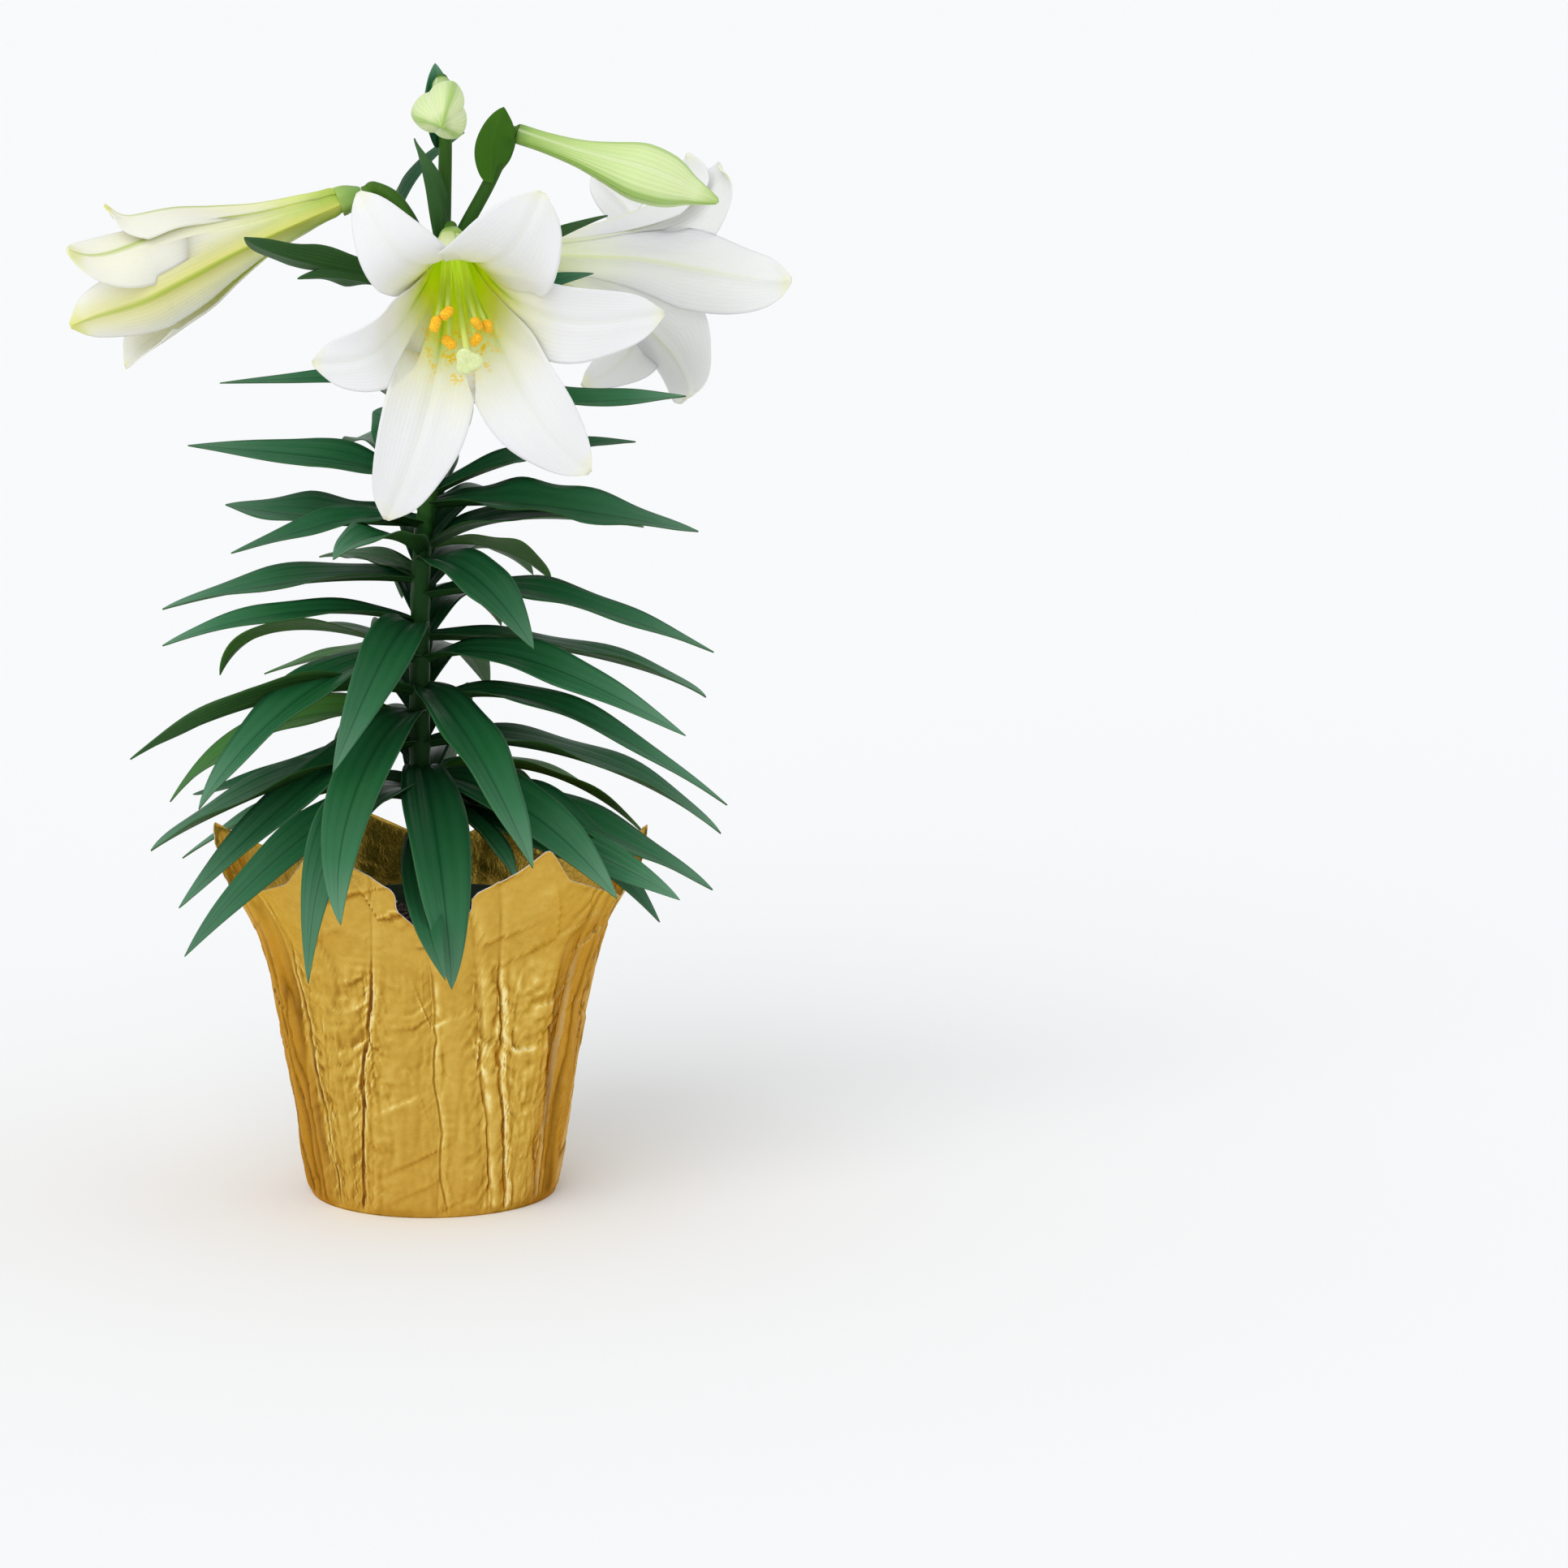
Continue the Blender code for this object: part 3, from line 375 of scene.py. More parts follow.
def crinkled_share(places):
    """How much a place belongs to the two bands of fine upright wrinkles at the sides."""
    away = np.abs((places + 180) % 360 - 180)
    inside = smooth_step(CRINKLED_FROM - 4, CRINKLED_FROM + 6, away)
    return inside * (1 - smooth_step(CRINKLED_TO - 8, CRINKLED_TO + 8, away))


def cover_relief(places, heights, after_seam, before_seam, bulge, depth_after, depth_before):
    """How far the film stands out from its plain round form, and how much painted shade its creases get."""
    arc = arc_length(places)
    side = crinkled_share(places)
    upper = smooth_step(108, 128, heights)

    # the seams: a narrow furrow with the lap of the fold beside it, and a broken line of painted shade along
    # it
    wander = 1.8 * soft_noise(heights / 22, arc / 60, 3) + 0.5 * soft_noise(heights / 5, arc / 40, 4)
    broken = 0.50 + 0.75 * soft_noise(heights / 6, arc / 30, 12)
    folds = shade_in_creases = 0.0
    seams = ((after_seam + wander, 1, depth_after), (before_seam - wander, -1, depth_before))
    for distance, lean, depth in seams:
        fade = depth * (1 - 0.85 * upper)
        folds = folds + fade * (-1.0 * hump(distance, 1.0) + 0.55 * hump(distance - 2.6, 2.2) * (lean > 0))
        shade_in_creases = np.maximum(shade_in_creases, fade * broken * hump(distance + 0.3 * lean, 0.7))

    # the fine upright wrinkles at the sides
    upright = np.abs(np.sin(arc / 3.0 + 3.8 * soft_noise(arc / 11, heights / 40, 5)))
    broad = np.sin(arc / 5.3 + 3.4 * soft_noise(arc / 16, heights / 42, 6))
    pleats = side * (1.1 * (upright - 0.6) + 0.7 * broad) * (1 - 0.45 * upper)

    # the crumpling between the seams, weaker on the smooth front panel
    slanted = heights + 0.8 * np.minimum(np.minimum(after_seam, before_seam), 9)
    crumpled = -facets(arc / 8.5, slanted / 6.5, 7, 0.3, 1.5)
    streaky = facets(arc / 3.6 + 0.8 * soft_noise(arc / 12, heights / 30, 11), heights / 24, 8, 0.8, 0.7)
    large = -facets(arc / 17 + heights / 50, heights / 15 - arc / 36, 9, 0.25, 1.2)
    fine = -facets(arc / 3.6, slanted / 3.0, 10, 0.4, 1.3)
    zone = 0.28 + 0.72 * smooth_step(11, 19, np.abs(places - 1)) - 0.3 * side
    belt = hump(heights - 88, 34)
    crinkles = (1 - upper) * (zone * (CRUMPLED * crumpled * (0.3 + 0.7 * belt) + FINE * fine)
                              + (0.35 + 0.65 * zone) * STREAKY * streaky * (1.1 - 0.7 * belt))
    crinkles = crinkles + LARGE * large * (0.4 + 0.6 * upper) + 0.05 * fine * upper

    relief = PANEL_BULGE * bulge * (1 - 0.5 * upper) + folds + pleats + crinkles
    for place, height, size, rise in PUFFS:
        distance = np.hypot(arc_length(places - place), (heights - height) * 0.8)
        rows = 0.65 + 0.35 * np.cos((heights - height) * 1.5 + (places - place) * 0.1)
        relief = relief + rise * hump(distance, size * 1.6) * rows
    limit = np.where(relief < 0, RELIEF_IN, RELIEF_OUT)
    relief = limit * np.tanh(relief / limit)

    # painted shade in the creases: between the upright wrinkles, and just under the front notch
    notch_shade = hump(places * 1.2, 3.2) * hump(heights - COVER_NOTCH_HEIGHT + 1.5, 1.1)
    for other in (side * (1 - upright) ** 1.5 * (1 - 0.5 * upper), notch_shade):
        shade_in_creases = np.maximum(shade_in_creases, 0.9 * other)
    steady = smooth_step(0, 5, heights)
    return relief * steady, np.clip(shade_in_creases * steady, 0, 1)


def cover_glint(relief, places, heights):
    """How much the relief turns the film to the light: 0 in shade, 1 on a glinting crease."""
    arc = arc_length(places)

    def slope(values, axis, least):
        step = np.gradient((heights, arc)[axis], axis=axis)
        return np.gradient(values, axis=axis) / np.maximum(step, least)

    rise = slope(relief, 0, 0.2)
    aside = slope(relief, 1, 0.2)
    bent = slope(rise, 0, 0.4) + slope(aside, 1, 0.4)
    lit = -0.75 * rise + 0.65 * aside - 0.70 * bent
    return np.clip(0.5 + 0.55 * np.tanh(lit * (1.7 - 0.7 * smooth_step(105, 125, heights))), 0, 1)


def foil_finish():
    """Gold film: soft metal, painted brown shade in folds, painted pale glints on creases, and a fine
    crackle.
    """
    paint = Paint("gold_film")
    worn = (paint.grain(260.0, 4.0) - 0.5) * 0.34
    # painted light and shade: the glint reading runs the gold from shaded brown to pale glints
    gold = paint.ramp(
        paint.reading("glint") + worn,
        (0.0, (0.34, 0.165, 0.020)), (0.28, (0.53, 0.305, 0.042)), (0.52, (0.655, 0.405, 0.068)),
        (0.76, (0.76, 0.510, 0.110)), (0.90, (0.90, 0.690, 0.230)), (1.0, (0.98, 0.84, 0.42)))
    # painted shade: the bands at the cover's sides turn a darker orange-brown
    side_shaded_gold = paint.mix(paint.reading("side") * 0.7, gold, (0.52, 0.235, 0.030))
    # painted shade: the film turns deep brown in its creases
    colour = paint.mix(paint.reading("crease_shade") * 0.8, side_shaded_gold, (0.15, 0.052, 0.010))
    place = paint.place()
    warp = paint.node("ShaderNodeTexNoise", {"Vector": place, "Scale": 90.0, "Detail": 2.0}, "Color")
    warped = paint.node("ShaderNodeMix", {0: 0.03, 4: place, 5: warp}, 1, data_type="VECTOR")
    cells = {"Vector": warped, "Scale": 190.0}
    crackle = paint.node("ShaderNodeTexVoronoi", cells, feature="DISTANCE_TO_EDGE")
    paint.bump(crackle.math("MINIMUM", 0.10), 0.30, 0.002)
    paint.bump(paint.grain(420.0, 4.0, (1.0, 1.0, 0.5)), 0.30, 0.0010)
    rough = paint.grain(220.0, 5.0).between(0.0, 1.0, 0.24, 0.40)
    return paint.coat({"Base Color": colour, "Metallic": 1.0, "Roughness": rough,
                       "Specular Tint": (1.0, 0.78, 0.42, 1.0)})


def build_cover():
    """The pleated cover with its flat floor."""
    grid = cover_grid()
    relief, crease_shade = cover_relief(*grid)
    places, heights = grid[:2]
    levels, radii = zip(*COVER_PROFILE)
    fine_levels = np.linspace(0, levels[-1], PROFILE_STEPS)
    fine_radii = np.interp(fine_levels, levels, radii)
    window = 2 * ROUNDING + 1
    fine_radii[ROUNDING:-ROUNDING] = np.convolve(fine_radii, np.ones(window) / window, mode="valid")
    to_rim = cover_rim_height(places) - heights
    radius = np.interp(heights, fine_levels, fine_radii) + relief + 1.2 * hump(to_rim, 2.4)
    aslant = sum(overhang * hump(places - place, 2.6) * hump(to_rim, 7.0) * smooth_step(146, 154, heights)
                 for place, overhang in RIM_HOOKS)
    angle = np.radians(places + aslant + COVER_FRONT)
    rows, columns = places.shape
    points = np.stack([radius * np.cos(angle), radius * np.sin(angle), heights], axis=-1).reshape(-1, 3)
    middle = len(points)
    faces = grid_faces(rows, columns)
    faces += [(middle, (step + 1) % columns, step) for step in range(columns)]
    # where the painted shade of the sides falls, fading towards the rim
    side = crinkled_share(places) * (1 - smooth_step(118, 150, heights))
    readings = {"crease_shade": np.append(crease_shade, 0.0), "side": np.append(side, 0.0),
                "glint": np.append(cover_glint(relief, places, heights), 0.5)}
    cut_edge = grainy("film_cut_edge", (300.0,), [(0.3, (0.66, 0.62, 0.66)), (0.7, (0.80, 0.77, 0.80))], 0.6)
    cover = make_piece("gold_foil_cover", np.vstack([points, (0, 0, 0)]), faces,
                       [foil_finish(), cut_edge], ["foil_cover"], readings)
    film = cover.modifiers.new("film", "SOLIDIFY")
    film.thickness = FILM_THICKNESS * MM
    film.offset = -1.0
    film.material_offset_rim = 1


build_cover()


# Grower pot
# A thin moulded pot of dark green plastic with a stiff stepped rim and drain holes in its floor.
# It drops into the foil cover, which hides all but its inside above the soil.

POT_HEIGHT = 125.0
POT_FOOT_RADIUS = 51.5
POT_RIM_RADIUS = 72.8
POT_RIM_HEIGHT = 15.0
POT_WALL = 1.6
POT_BASE = 1.1              # the pot's underside, over the foil floor
POT_SIDES = 96
FLOW_MARKS = (90.0, 4.0, (1.0, 1.0, 3.0))
POT_GREENS = [(0.3, (0.020, 0.060, 0.032)), (0.7, (0.035, 0.085, 0.048))]
DRAINS = 4
DRAIN_RADIUS = 5.0
DRAIN_PLACE = 36.0


def round_angles(count):
    """Evenly spaced angles of a full turn."""
    return np.linspace(0, 2 * math.pi, count, endpoint=False)


def turned(profile, sides):
    """Points and quads of a solid turned about the Z axis from a closed (radius, height) profile."""
    angles = round_angles(sides)
    radii, heights = np.array(profile, dtype=float).T
    points = np.stack([np.outer(np.cos(angles), radii), np.outer(np.sin(angles), radii),
                       np.tile(heights, (sides, 1))], axis=-1).reshape(-1, 3)
    knots = range(len(profile))
    faces = []
    for step in range(sides):
        here, there = step * len(profile), (step + 1) % sides * len(profile)
        faces += [(here + knot, there + knot, there + after, here + after)
                  for knot, after in zip(knots, (*knots[1:], 0))]
    return points, faces


def build_pot():
    """The turned pot with its drain holes cut."""
    rim_foot = POT_BASE + POT_HEIGHT - POT_RIM_HEIGHT
    top = POT_BASE + POT_HEIGHT
    shoulder = POT_RIM_RADIUS - 3.2
    profile = [
        (2.0, POT_BASE), (POT_FOOT_RADIUS - 1.5, POT_BASE), (POT_FOOT_RADIUS, POT_BASE + 1.5),
        (shoulder - 1.2, rim_foot), (POT_RIM_RADIUS - 1.6, rim_foot), (POT_RIM_RADIUS, top - 0.8),
        (POT_RIM_RADIUS - 0.6, top), (POT_RIM_RADIUS - POT_WALL, top),
        (shoulder - POT_WALL, rim_foot + 2.0), (POT_FOOT_RADIUS - POT_WALL, POT_BASE + POT_WALL + 1),
        (POT_FOOT_RADIUS - POT_WALL - 1.5, POT_BASE + POT_WALL), (2.0, POT_BASE + POT_WALL),
    ]
    points, faces = turned(profile, POT_SIDES)
    plastic = grainy("pot_plastic", FLOW_MARKS, POT_GREENS, 0.48, ((900.0,), 0.12, 0.0004))
    pot = make_piece("grower_pot", points, faces, [plastic], ["pot"])
    for number in range(DRAINS):
        bpy.ops.mesh.primitive_cylinder_add(vertices=24, radius=DRAIN_RADIUS * MM, depth=8 * MM)
        cutter = bpy.context.object
        turn = 2 * math.pi * (number + 0.5) / DRAINS
        out = DRAIN_PLACE * MM
        cutter.location = (out * math.cos(turn), out * math.sin(turn), POT_BASE * MM)
        drain = pot.modifiers.new(f"drain_{number}", "BOOLEAN")
        drain.operation = "DIFFERENCE"
        drain.object = cutter
        bpy.context.view_layer.update()
        cut = bpy.data.meshes.new_from_object(pot.evaluated_get(bpy.context.evaluated_depsgraph_get()))
        pot.modifiers.clear()
        pot.data = cut
        bpy.data.objects.remove(cutter, do_unlink=True)
    pot.data.shade_smooth()
    pot.data.set_sharp_from_angle(angle=math.radians(35))


build_pot()


# Potting mix
# Moist peat with bark crumbs and white perlite, filled to just under the pot's rim and pressed
# round the stem, which stands in a plain hole.

SOIL_LEVEL = 118.0
SOIL_CROWN = 2.0
SOIL_EDGE = 68.6            # radius of the soil's top at the pot's wall
STEM_FOOT_DEPTH = 58.0
STEM_RADIUS = 4.8
STEM_HOLE = STEM_RADIUS + CLEARANCE
HOLE_FLOOR = SOIL_LEVEL - STEM_FOOT_DEPTH - CLEARANCE
SOIL_SIDE = [(65.3, 80.0), (54.6, 30.0), (49.5, 5.5), (46.0, 3.0)]  # (radius, height) down the wall
SOIL_SIDES = 120
SOIL_RINGS = 46
PEAT_BROWNS = [(0.30, (0.018, 0.011, 0.007)), (0.55, (0.050, 0.030, 0.018)), (0.80, (0.11, 0.070, 0.042))]
PERLITE_WHITES = [(0.3, (0.62, 0.60, 0.56)), (0.7, (0.85, 0.84, 0.80))]
PEAT = grainy("potting_mix", (130.0, 6.0), PEAT_BROWNS, 0.92, ((900.0, 6.0), 0.8, 0.0012))
PLAIN_PEAT = bpy.data.materials["potting_mix"]      # the plain brown that the frame's soil has
PERLITE = grainy("perlite", (500.0,), PERLITE_WHITES, 0.85, ((1500.0, 4.0), 0.5, 0.0006))
CRUMBS = 2600
PERLITE_SHARE = 0.07
STEM_MIDDLE = -4.0          # the stem's place at the soil, to the left of the pot's axis


def soil_lump(x, y):
    """How far the soil's top rises or sinks at a place."""
    return 0.9 * np.sin(0.31 * x + 1.0) * np.cos(0.27 * y) + 0.7 * np.sin(0.6 * (x - y))


def soil_top(x, y):
    """Height of the soil's top, with its lumps and fine crumb."""
    out = np.hypot(x - STEM_MIDDLE, y)
    share = np.clip(out / 59.0, 0, 1)
    fine = 0.8 * soft_noise(x / 3.1 + 30, y / 3.1 + 30, 21)
    fine = fine + 0.5 * soft_noise(x / 1.4 + 60, y / 1.4 + 60, 22)
    calm = smooth_step(0, 5, out - STEM_RADIUS) * smooth_step(0, 3, SOIL_EDGE - np.hypot(x, y))
    return SOIL_LEVEL + SOIL_CROWN * (1 - share) + (soil_lump(x, y) + fine) * calm


def soil_ring(radius, height, middle=0.0):
    """Points of a level ring round the soil's axis, or round the stem."""
    angles = round_angles(SOIL_SIDES)
    x, y = middle + radius * np.cos(angles), radius * np.sin(angles)
    return np.stack([x, y, np.full(SOIL_SIDES, height)], axis=-1)


def closed_rings(rings, first, last):
    """Points and quads of stacked rings, closed by a point at each end."""
    sides = len(rings[0])
    end = len(rings) * sides
    faces = grid_faces(len(rings), sides)
    for step in range(sides):
        following = (step + 1) % sides
        faces += [(end, following, step), (end + 1, end - sides + step, end - sides + following)]
    return np.vstack([*rings, first, last]), faces


def build_soil_body():
    """The soil with its crumbly top and the hole for the stem."""
    rings = [soil_ring(STEM_HOLE, HOLE_FLOOR, STEM_MIDDLE),
             soil_ring(STEM_HOLE, SOIL_LEVEL + SOIL_CROWN - 0.5, STEM_MIDDLE)]
    for share in np.linspace(0, 1, SOIL_RINGS):
        top = soil_ring(STEM_HOLE + (SOIL_EDGE - STEM_HOLE) * share, 0.0, STEM_MIDDLE * (1 - share))
        top[:, 2] = soil_top(top[:, 0], top[:, 1])
        rings.append(top)
    rings += [soil_ring(radius, height) for radius, height in SOIL_SIDE]
    points, faces = closed_rings(rings, (STEM_MIDDLE, 0, HOLE_FLOOR), (0, 0, SOIL_SIDE[-1][1]))
    make_piece("soil_body", points, [face[::-1] for face in faces], [PEAT], ["soil"])


def build_crumbs():
    """The loose crumbs and perlite grains on the soil's top."""
    draw = random.Random(31)
    bpy.ops.mesh.primitive_ico_sphere_add(subdivisions=1, radius=1.0)
    pattern = bpy.context.object
    ball = np.array([tuple(vertex.co) for vertex in pattern.data.vertices])
    ball_faces = [tuple(polygon.vertices) for polygon in pattern.data.polygons]
    bpy.data.objects.remove(pattern, do_unlink=True)
    points, faces, finish_of = [], [], []
    for number in range(CRUMBS):
        out = STEM_HOLE + 1.5 + (SOIL_EDGE - STEM_HOLE - 4) * math.sqrt(draw.random())
        turn = draw.uniform(0, 2 * math.pi)
        x = STEM_MIDDLE * (1 - out / SOIL_EDGE) + out * math.cos(turn)
        y = out * math.sin(turn)
        white = draw.random() < PERLITE_SHARE
        size = draw.uniform(0.8, 1.7) if white else draw.uniform(0.5, 1.9) * draw.uniform(0.6, 1.0)
        shape = np.array([draw.uniform(0.7, 1.3), draw.uniform(0.7, 1.3), draw.uniform(0.5, 0.9)]) * size
        jitter = 1 + 0.22 * np.random.default_rng(number).standard_normal((len(ball), 1))
        height = float(soil_top(np.array(x), np.array(y)))
        points.append(ball * jitter * shape + (x, y, height + 0.25 * size))
        faces += [tuple(corner + number * len(ball) for corner in face) for face in ball_faces]
        finish_of += [int(white)] * len(ball_faces)
    crumbs = make_piece("soil_crumbs", np.vstack(points), faces, [PLAIN_PEAT, PERLITE],
                        finish_of=finish_of)
    crumbs.data.shade_flat()


build_soil_body()
build_crumbs()


# Stem
# The upright green stem that grows from the bulb below the soil, a little ridged and scarred
# where its leaves join, in a slight S up to where the flower stalks part.

STEM_TOP_RADIUS = 3.4
STEM_TAPER_HEIGHT = 200     # where the stem starts to taper
STEM_POINTS = 150
STEM_SIDES = 28
UMBEL = (6.0, 0.0, 422.0)   # where the flower stalks part
STEM_LINE = [
    (-4.0, 0.0, SOIL_LEVEL - STEM_FOOT_DEPTH), (-4.0, 0.0, 118), (-4.3, 0.0, 190),
    (-2.8, 0.0, 285), (1.5, 0.0, 330), UMBEL,
]


def unit(vectors):
    """Vectors scaled to length one."""
    vectors = np.asarray(vectors, dtype=float)
    return vectors / np.linalg.norm(vectors, axis=-1, keepdims=True)


def curve_through(knots, count):
    """Points of a smooth curve through the knots, evenly spaced in knot number."""
    knots = np.asarray(knots, dtype=float)
    padded = np.vstack([2 * knots[0] - knots[1], knots, 2 * knots[-1] - knots[-2]])
    places = np.linspace(0, len(knots) - 1, count)
    span = np.minimum(places.astype(int), len(knots) - 2)
    t = (places - span)[:, None]
    before, start, end, after = (padded[span + shift] for shift in range(4))
    return 0.5 * (2 * start + (end - before) * t
                  + (2 * before - 5 * start + 4 * end - after) * t ** 2
                  + (3 * start - before - 3 * end + after) * t ** 3)


def spokes(sizes, angles, right, up):
    """Steps out from an axis at some angles, by some sizes."""
    return sizes[:, None] * (np.cos(angles)[:, None] * right + np.sin(angles)[:, None] * up)


def tube(path, radii, sides, relief=None):
    """Points, quads and share of the way along a round tube, closed by a point at each end."""
    path = np.asarray(path, dtype=float)
    tangents = unit(np.gradient(path, axis=0))
    side = unit(np.cross(tangents[0], (0.3, 0.9, 0.1)))
    angles = round_angles(sides)
    shares = np.linspace(0, 1, len(path))
    rings = []
    for share, place, tangent, radius in zip(shares, path, tangents, radii):
        side = unit(side - tangent * np.dot(side, tangent))
        sizes = radius * (1 + (relief(share, angles) if relief else 0.0)) * np.ones(sides)
        rings.append(place + spokes(sizes, angles, side, np.cross(tangent, side)))
    points, faces = closed_rings(rings, path[0], path[-1])
    return points, faces, np.append(np.repeat(shares, sides), (0.0, 1.0))


def join_parts(parts):
    """Several (points, faces, *readings) as one set."""
    faces, start = [], 0
    for points, quads, *_ in parts:
        faces += [tuple(corner + start for corner in quad) for quad in quads]
        start += len(points)
    points, _, *readings = zip(*parts)
    return (np.vstack(points), faces, *map(np.concatenate, readings))


def join_sheets(sheets):
    """Several ((points, faces, *readings), finish of each face) as one set, and its finishes."""
    parts, finishes = zip(*sheets)
    return (*join_parts(parts), sum(finishes, []))


def stem_axis(height):
    """The stem's middle at a height."""
    knots = np.asarray(STEM_LINE, dtype=float)
    return np.array([np.interp(height, knots[:, 2], knots[:, 0]), 0.0, height])


def stem_finish():
    """Green stem, darker and a little purple-brown low down, paler where it carries flowers."""
    paint = Paint("stem_green")
    green = paint.ramp(
        paint.reading("along"), (0.0, (0.014, 0.032, 0.010)), (0.35, (0.008, 0.050, 0.009)),
        (0.70, (0.016, 0.085, 0.012)), (0.88, (0.070, 0.175, 0.015)), (1.0, (0.110, 0.230, 0.022)))
    colour = paint.mix(paint.grain(160.0, 5.0, (1.0, 1.0, 0.25)) * 0.45, green, (0.006, 0.028, 0.006))
    paint.bump(paint.grain(420.0, 4.0, (1.0, 1.0, 0.12)), 0.35, 0.0010)
    return paint.coat({"Base Color": colour, "Roughness": 0.48, "Specular IOR Level": 0.12,
                       "Subsurface Weight": 0.04, "Subsurface Radius": (0.002, 0.003, 0.001)})


def build_stem():
    """The stem as one tube with faint ridges and swellings at its leaf joints."""
    path = curve_through(STEM_LINE, STEM_POINTS)
    radii = np.interp(path[:, 2], [STEM_TAPER_HEIGHT, UMBEL[2]], [STEM_RADIUS, STEM_TOP_RADIUS])

    def ridges(share, angles):
        joints = 0.05 * np.sin(share * 190 + 2 * angles)
        return 0.035 * np.cos(5 * angles + share * 9) + joints * smooth_step(0.2, 0.3, share)

    points, faces, along = tube(path, radii, STEM_SIDES, ridges)
    make_piece("stem", points, faces, [stem_finish()], ["leafy_stem"], {"along": along})


build_stem()


# Leaves
# Waxy lance-shaped blades set spirally up the stem, with a sunken midrib, parallel veins and
# slightly waved edges. They grow out of the stem, and each droops or lifts in its own way.

# Foot height, azimuth, reach, rise of the tip above the foot, arch above the straight line and
# width; then, where a leaf needs them, its twist about the midrib, the sideways sweep of its tip,
# how far out it starts to droop, and how far it has aged. Azimuth 0 is right and 270 front.
LEAVES = [
    # under the flowers
    (417, 210, 117, 27, -6, 20, 47, 18),
    (401, 208, 65, 18, 9, 24, 48, -4),
    (413, 345, 9, 65, -9, 11, 7, -157, 0.88),
    (409, 155, 55, 66, -6, 18, 76, -76, 0.7),
    (404, -1, 82, 43, 4, 17, -27, -19, 0.76),
    (396, 14, 72, 20, 4, 10, 40),
    # to the left
    (367, 171, 96, 1, 5, 10, -28, 4, 0.3),
    (320, 139, 34, 33, 9, 24, -40),
    (322, 184, 108, 18, 8, 21, -23, -8, 0.37),
    (307, 180, 92, 5, -2, 33, -4, -10),
    (306, 215, 95, -6, 10, 19, -8, -6, 0.45),
    (293, 243, 78, 8, 12, 24),
    (281, 128, 74, 1, 5, 17, 0, 4, 0.73, 0.3),
    (281, 174, 118, -16, 7, 27),
    (262, 195, 116, -8, 13, 16, -11, -5, 0.7),
    (247, 141, 110, -20, 13, 18, 28, 9, 0.97, 0.5),
    (240, 121, 121, -19, 10, 17, -12, 9, 0.66, 0.6),
    (230, 206, 142, -18, 15, 31, 48, 3),
    (245, 219, 121, -54, 25, 27, 0, 0, 0.74),
    (259, 255, 92, -50, 27, 23, -30, -7, 0.71),
    (211, 159, 126, -41, 29, 23, -22, 0, 0.74, 0.6),
    (218, 162, 120, -46, -3, 9, -24, -8, 0.78),
    (207, 205, 129, -39, 8, 33, 19, 0, 0.78),
    (188, 151, 130, -48, 14, 22, -9),
    (217, 215, 113, -79, 20, 22, -14, -16, 0.71),
    (180, 233, 132, -53, 33, 20, -19, -12, 0.76),
    # in front
    (185, 250, 126, -63, 25, 25, 0, 0, 0.95),
    (220, 251, 135, -69, 30, 24, -5, 7, 0.89),
    (195, 279, 126, -74, 27, 28, -12, 0, 0.89),
    (169, 272, 150, -38, 8, 17, 0, 5, 0.73),
    (186, 313, 73, -31, 6, 19, -30, -5, 0.81),
    # to the right
    (315, 349, 122, -15, 8, 34, 6, 18, 0.55),
    (296, -6, 102, 4, 15, 32, -4, 22, 0.52),
    (295, 52, 89, -26, 12, 20, -17, 0, 0.76, 0.5),
    (289, 302, 100, -25, 15, 25, 8),
    (274, 346, 132, -24, 15, 25, 0, 8, 0.56),
    (255, 11, 129, -25, 7, 26, -14, -18, 0.76),
    (245, 330, 132, -25, 19, 21, 25, 5, 0.55),
    (224, 344, 139, -43, 27, 22, 0, 9, 0.55),
    (206, 5, 138, -36, 16, 32, -11, -16),
    (233, 297, 119, -62, 14, 28, -14),
    (191, 327, 113, -42, 17, 26, 22, -4),
    (189, 348, 132, -49, 13, 30, 0, 9, 0.72),
    (186, 19, 111, -32, 27, 21, -14, 6, 0.66, 0.6),
    (181, 340, 125, -38, 8, 20, 41, 0, 0.74),
    (167, 347, 111, -38, 39, 28, 17, 0, 0.62),
    (364, 5, 113, -2, -4, 22, 5),
    (320, 20, 98, 18, 7, 18),
]
BRACTS = [                  # the two small leaves beside the buds, with the place of their feet first
    ((28.5, 0.0, 459), 300, 16, 34, 2, 17, -50, 0, 0.66, 1.0),
    ((7.5, 5.5, 473), 110, 7, 37, 3, 13),
]
BACK_LEAVES = 20            # the leaves behind the stem follow the spiral rule alone
BACK_LOW = 173.0
BACK_HIGH = 388.0
GOLDEN_ANGLE = 137.5
LEAF_THICKNESS = 1.4        # at the midrib
LEAF_EDGE = 0.45
LEAF_SINK = 2.0
LEAF_FACING = 14.0
LEAF_CHANNEL = 16.0
AGED_GREEN = (0.050, 0.165, 0.002)
LEAF_ALONG = 40
LEAF_ACROSS = 10
EDGE_WAVE = 0.045           # height of the edges' waves, as a part of the leaf's width


def back_leaves():
    """Leaves behind the stem, one after another up the golden-angle spiral."""
    draw = random.Random(56)
    rows = []
    for number in range(BACK_LEAVES):
        share = number / (BACK_LEAVES - 1)
        foot = BACK_LOW + share * (BACK_HIGH - BACK_LOW)
        azimuth = 62 + (number * GOLDEN_ANGLE) % 56
        reach = draw.uniform(106, 124) - 110 * max(0.0, share - 0.72)
        rise = -28 + 44 * share + draw.uniform(-5, 5)
        arch = draw.uniform(28, 36) - 18 * share
        width = draw.uniform(23, 28) - 7 * share
        rows.append((foot, azimuth, reach, rise, arch, width, draw.uniform(-12, 12)))
    return rows


def leaf_outline(share):
    """Width along a lance-shaped leaf, as a part of its full width."""
    swell = np.sin(math.pi * np.clip(share, 0, 1) ** 0.95).clip(0) ** 0.85
    return np.maximum((0.30 * (1 - share) ** 2.5 + swell) / 1.05, 0.006)


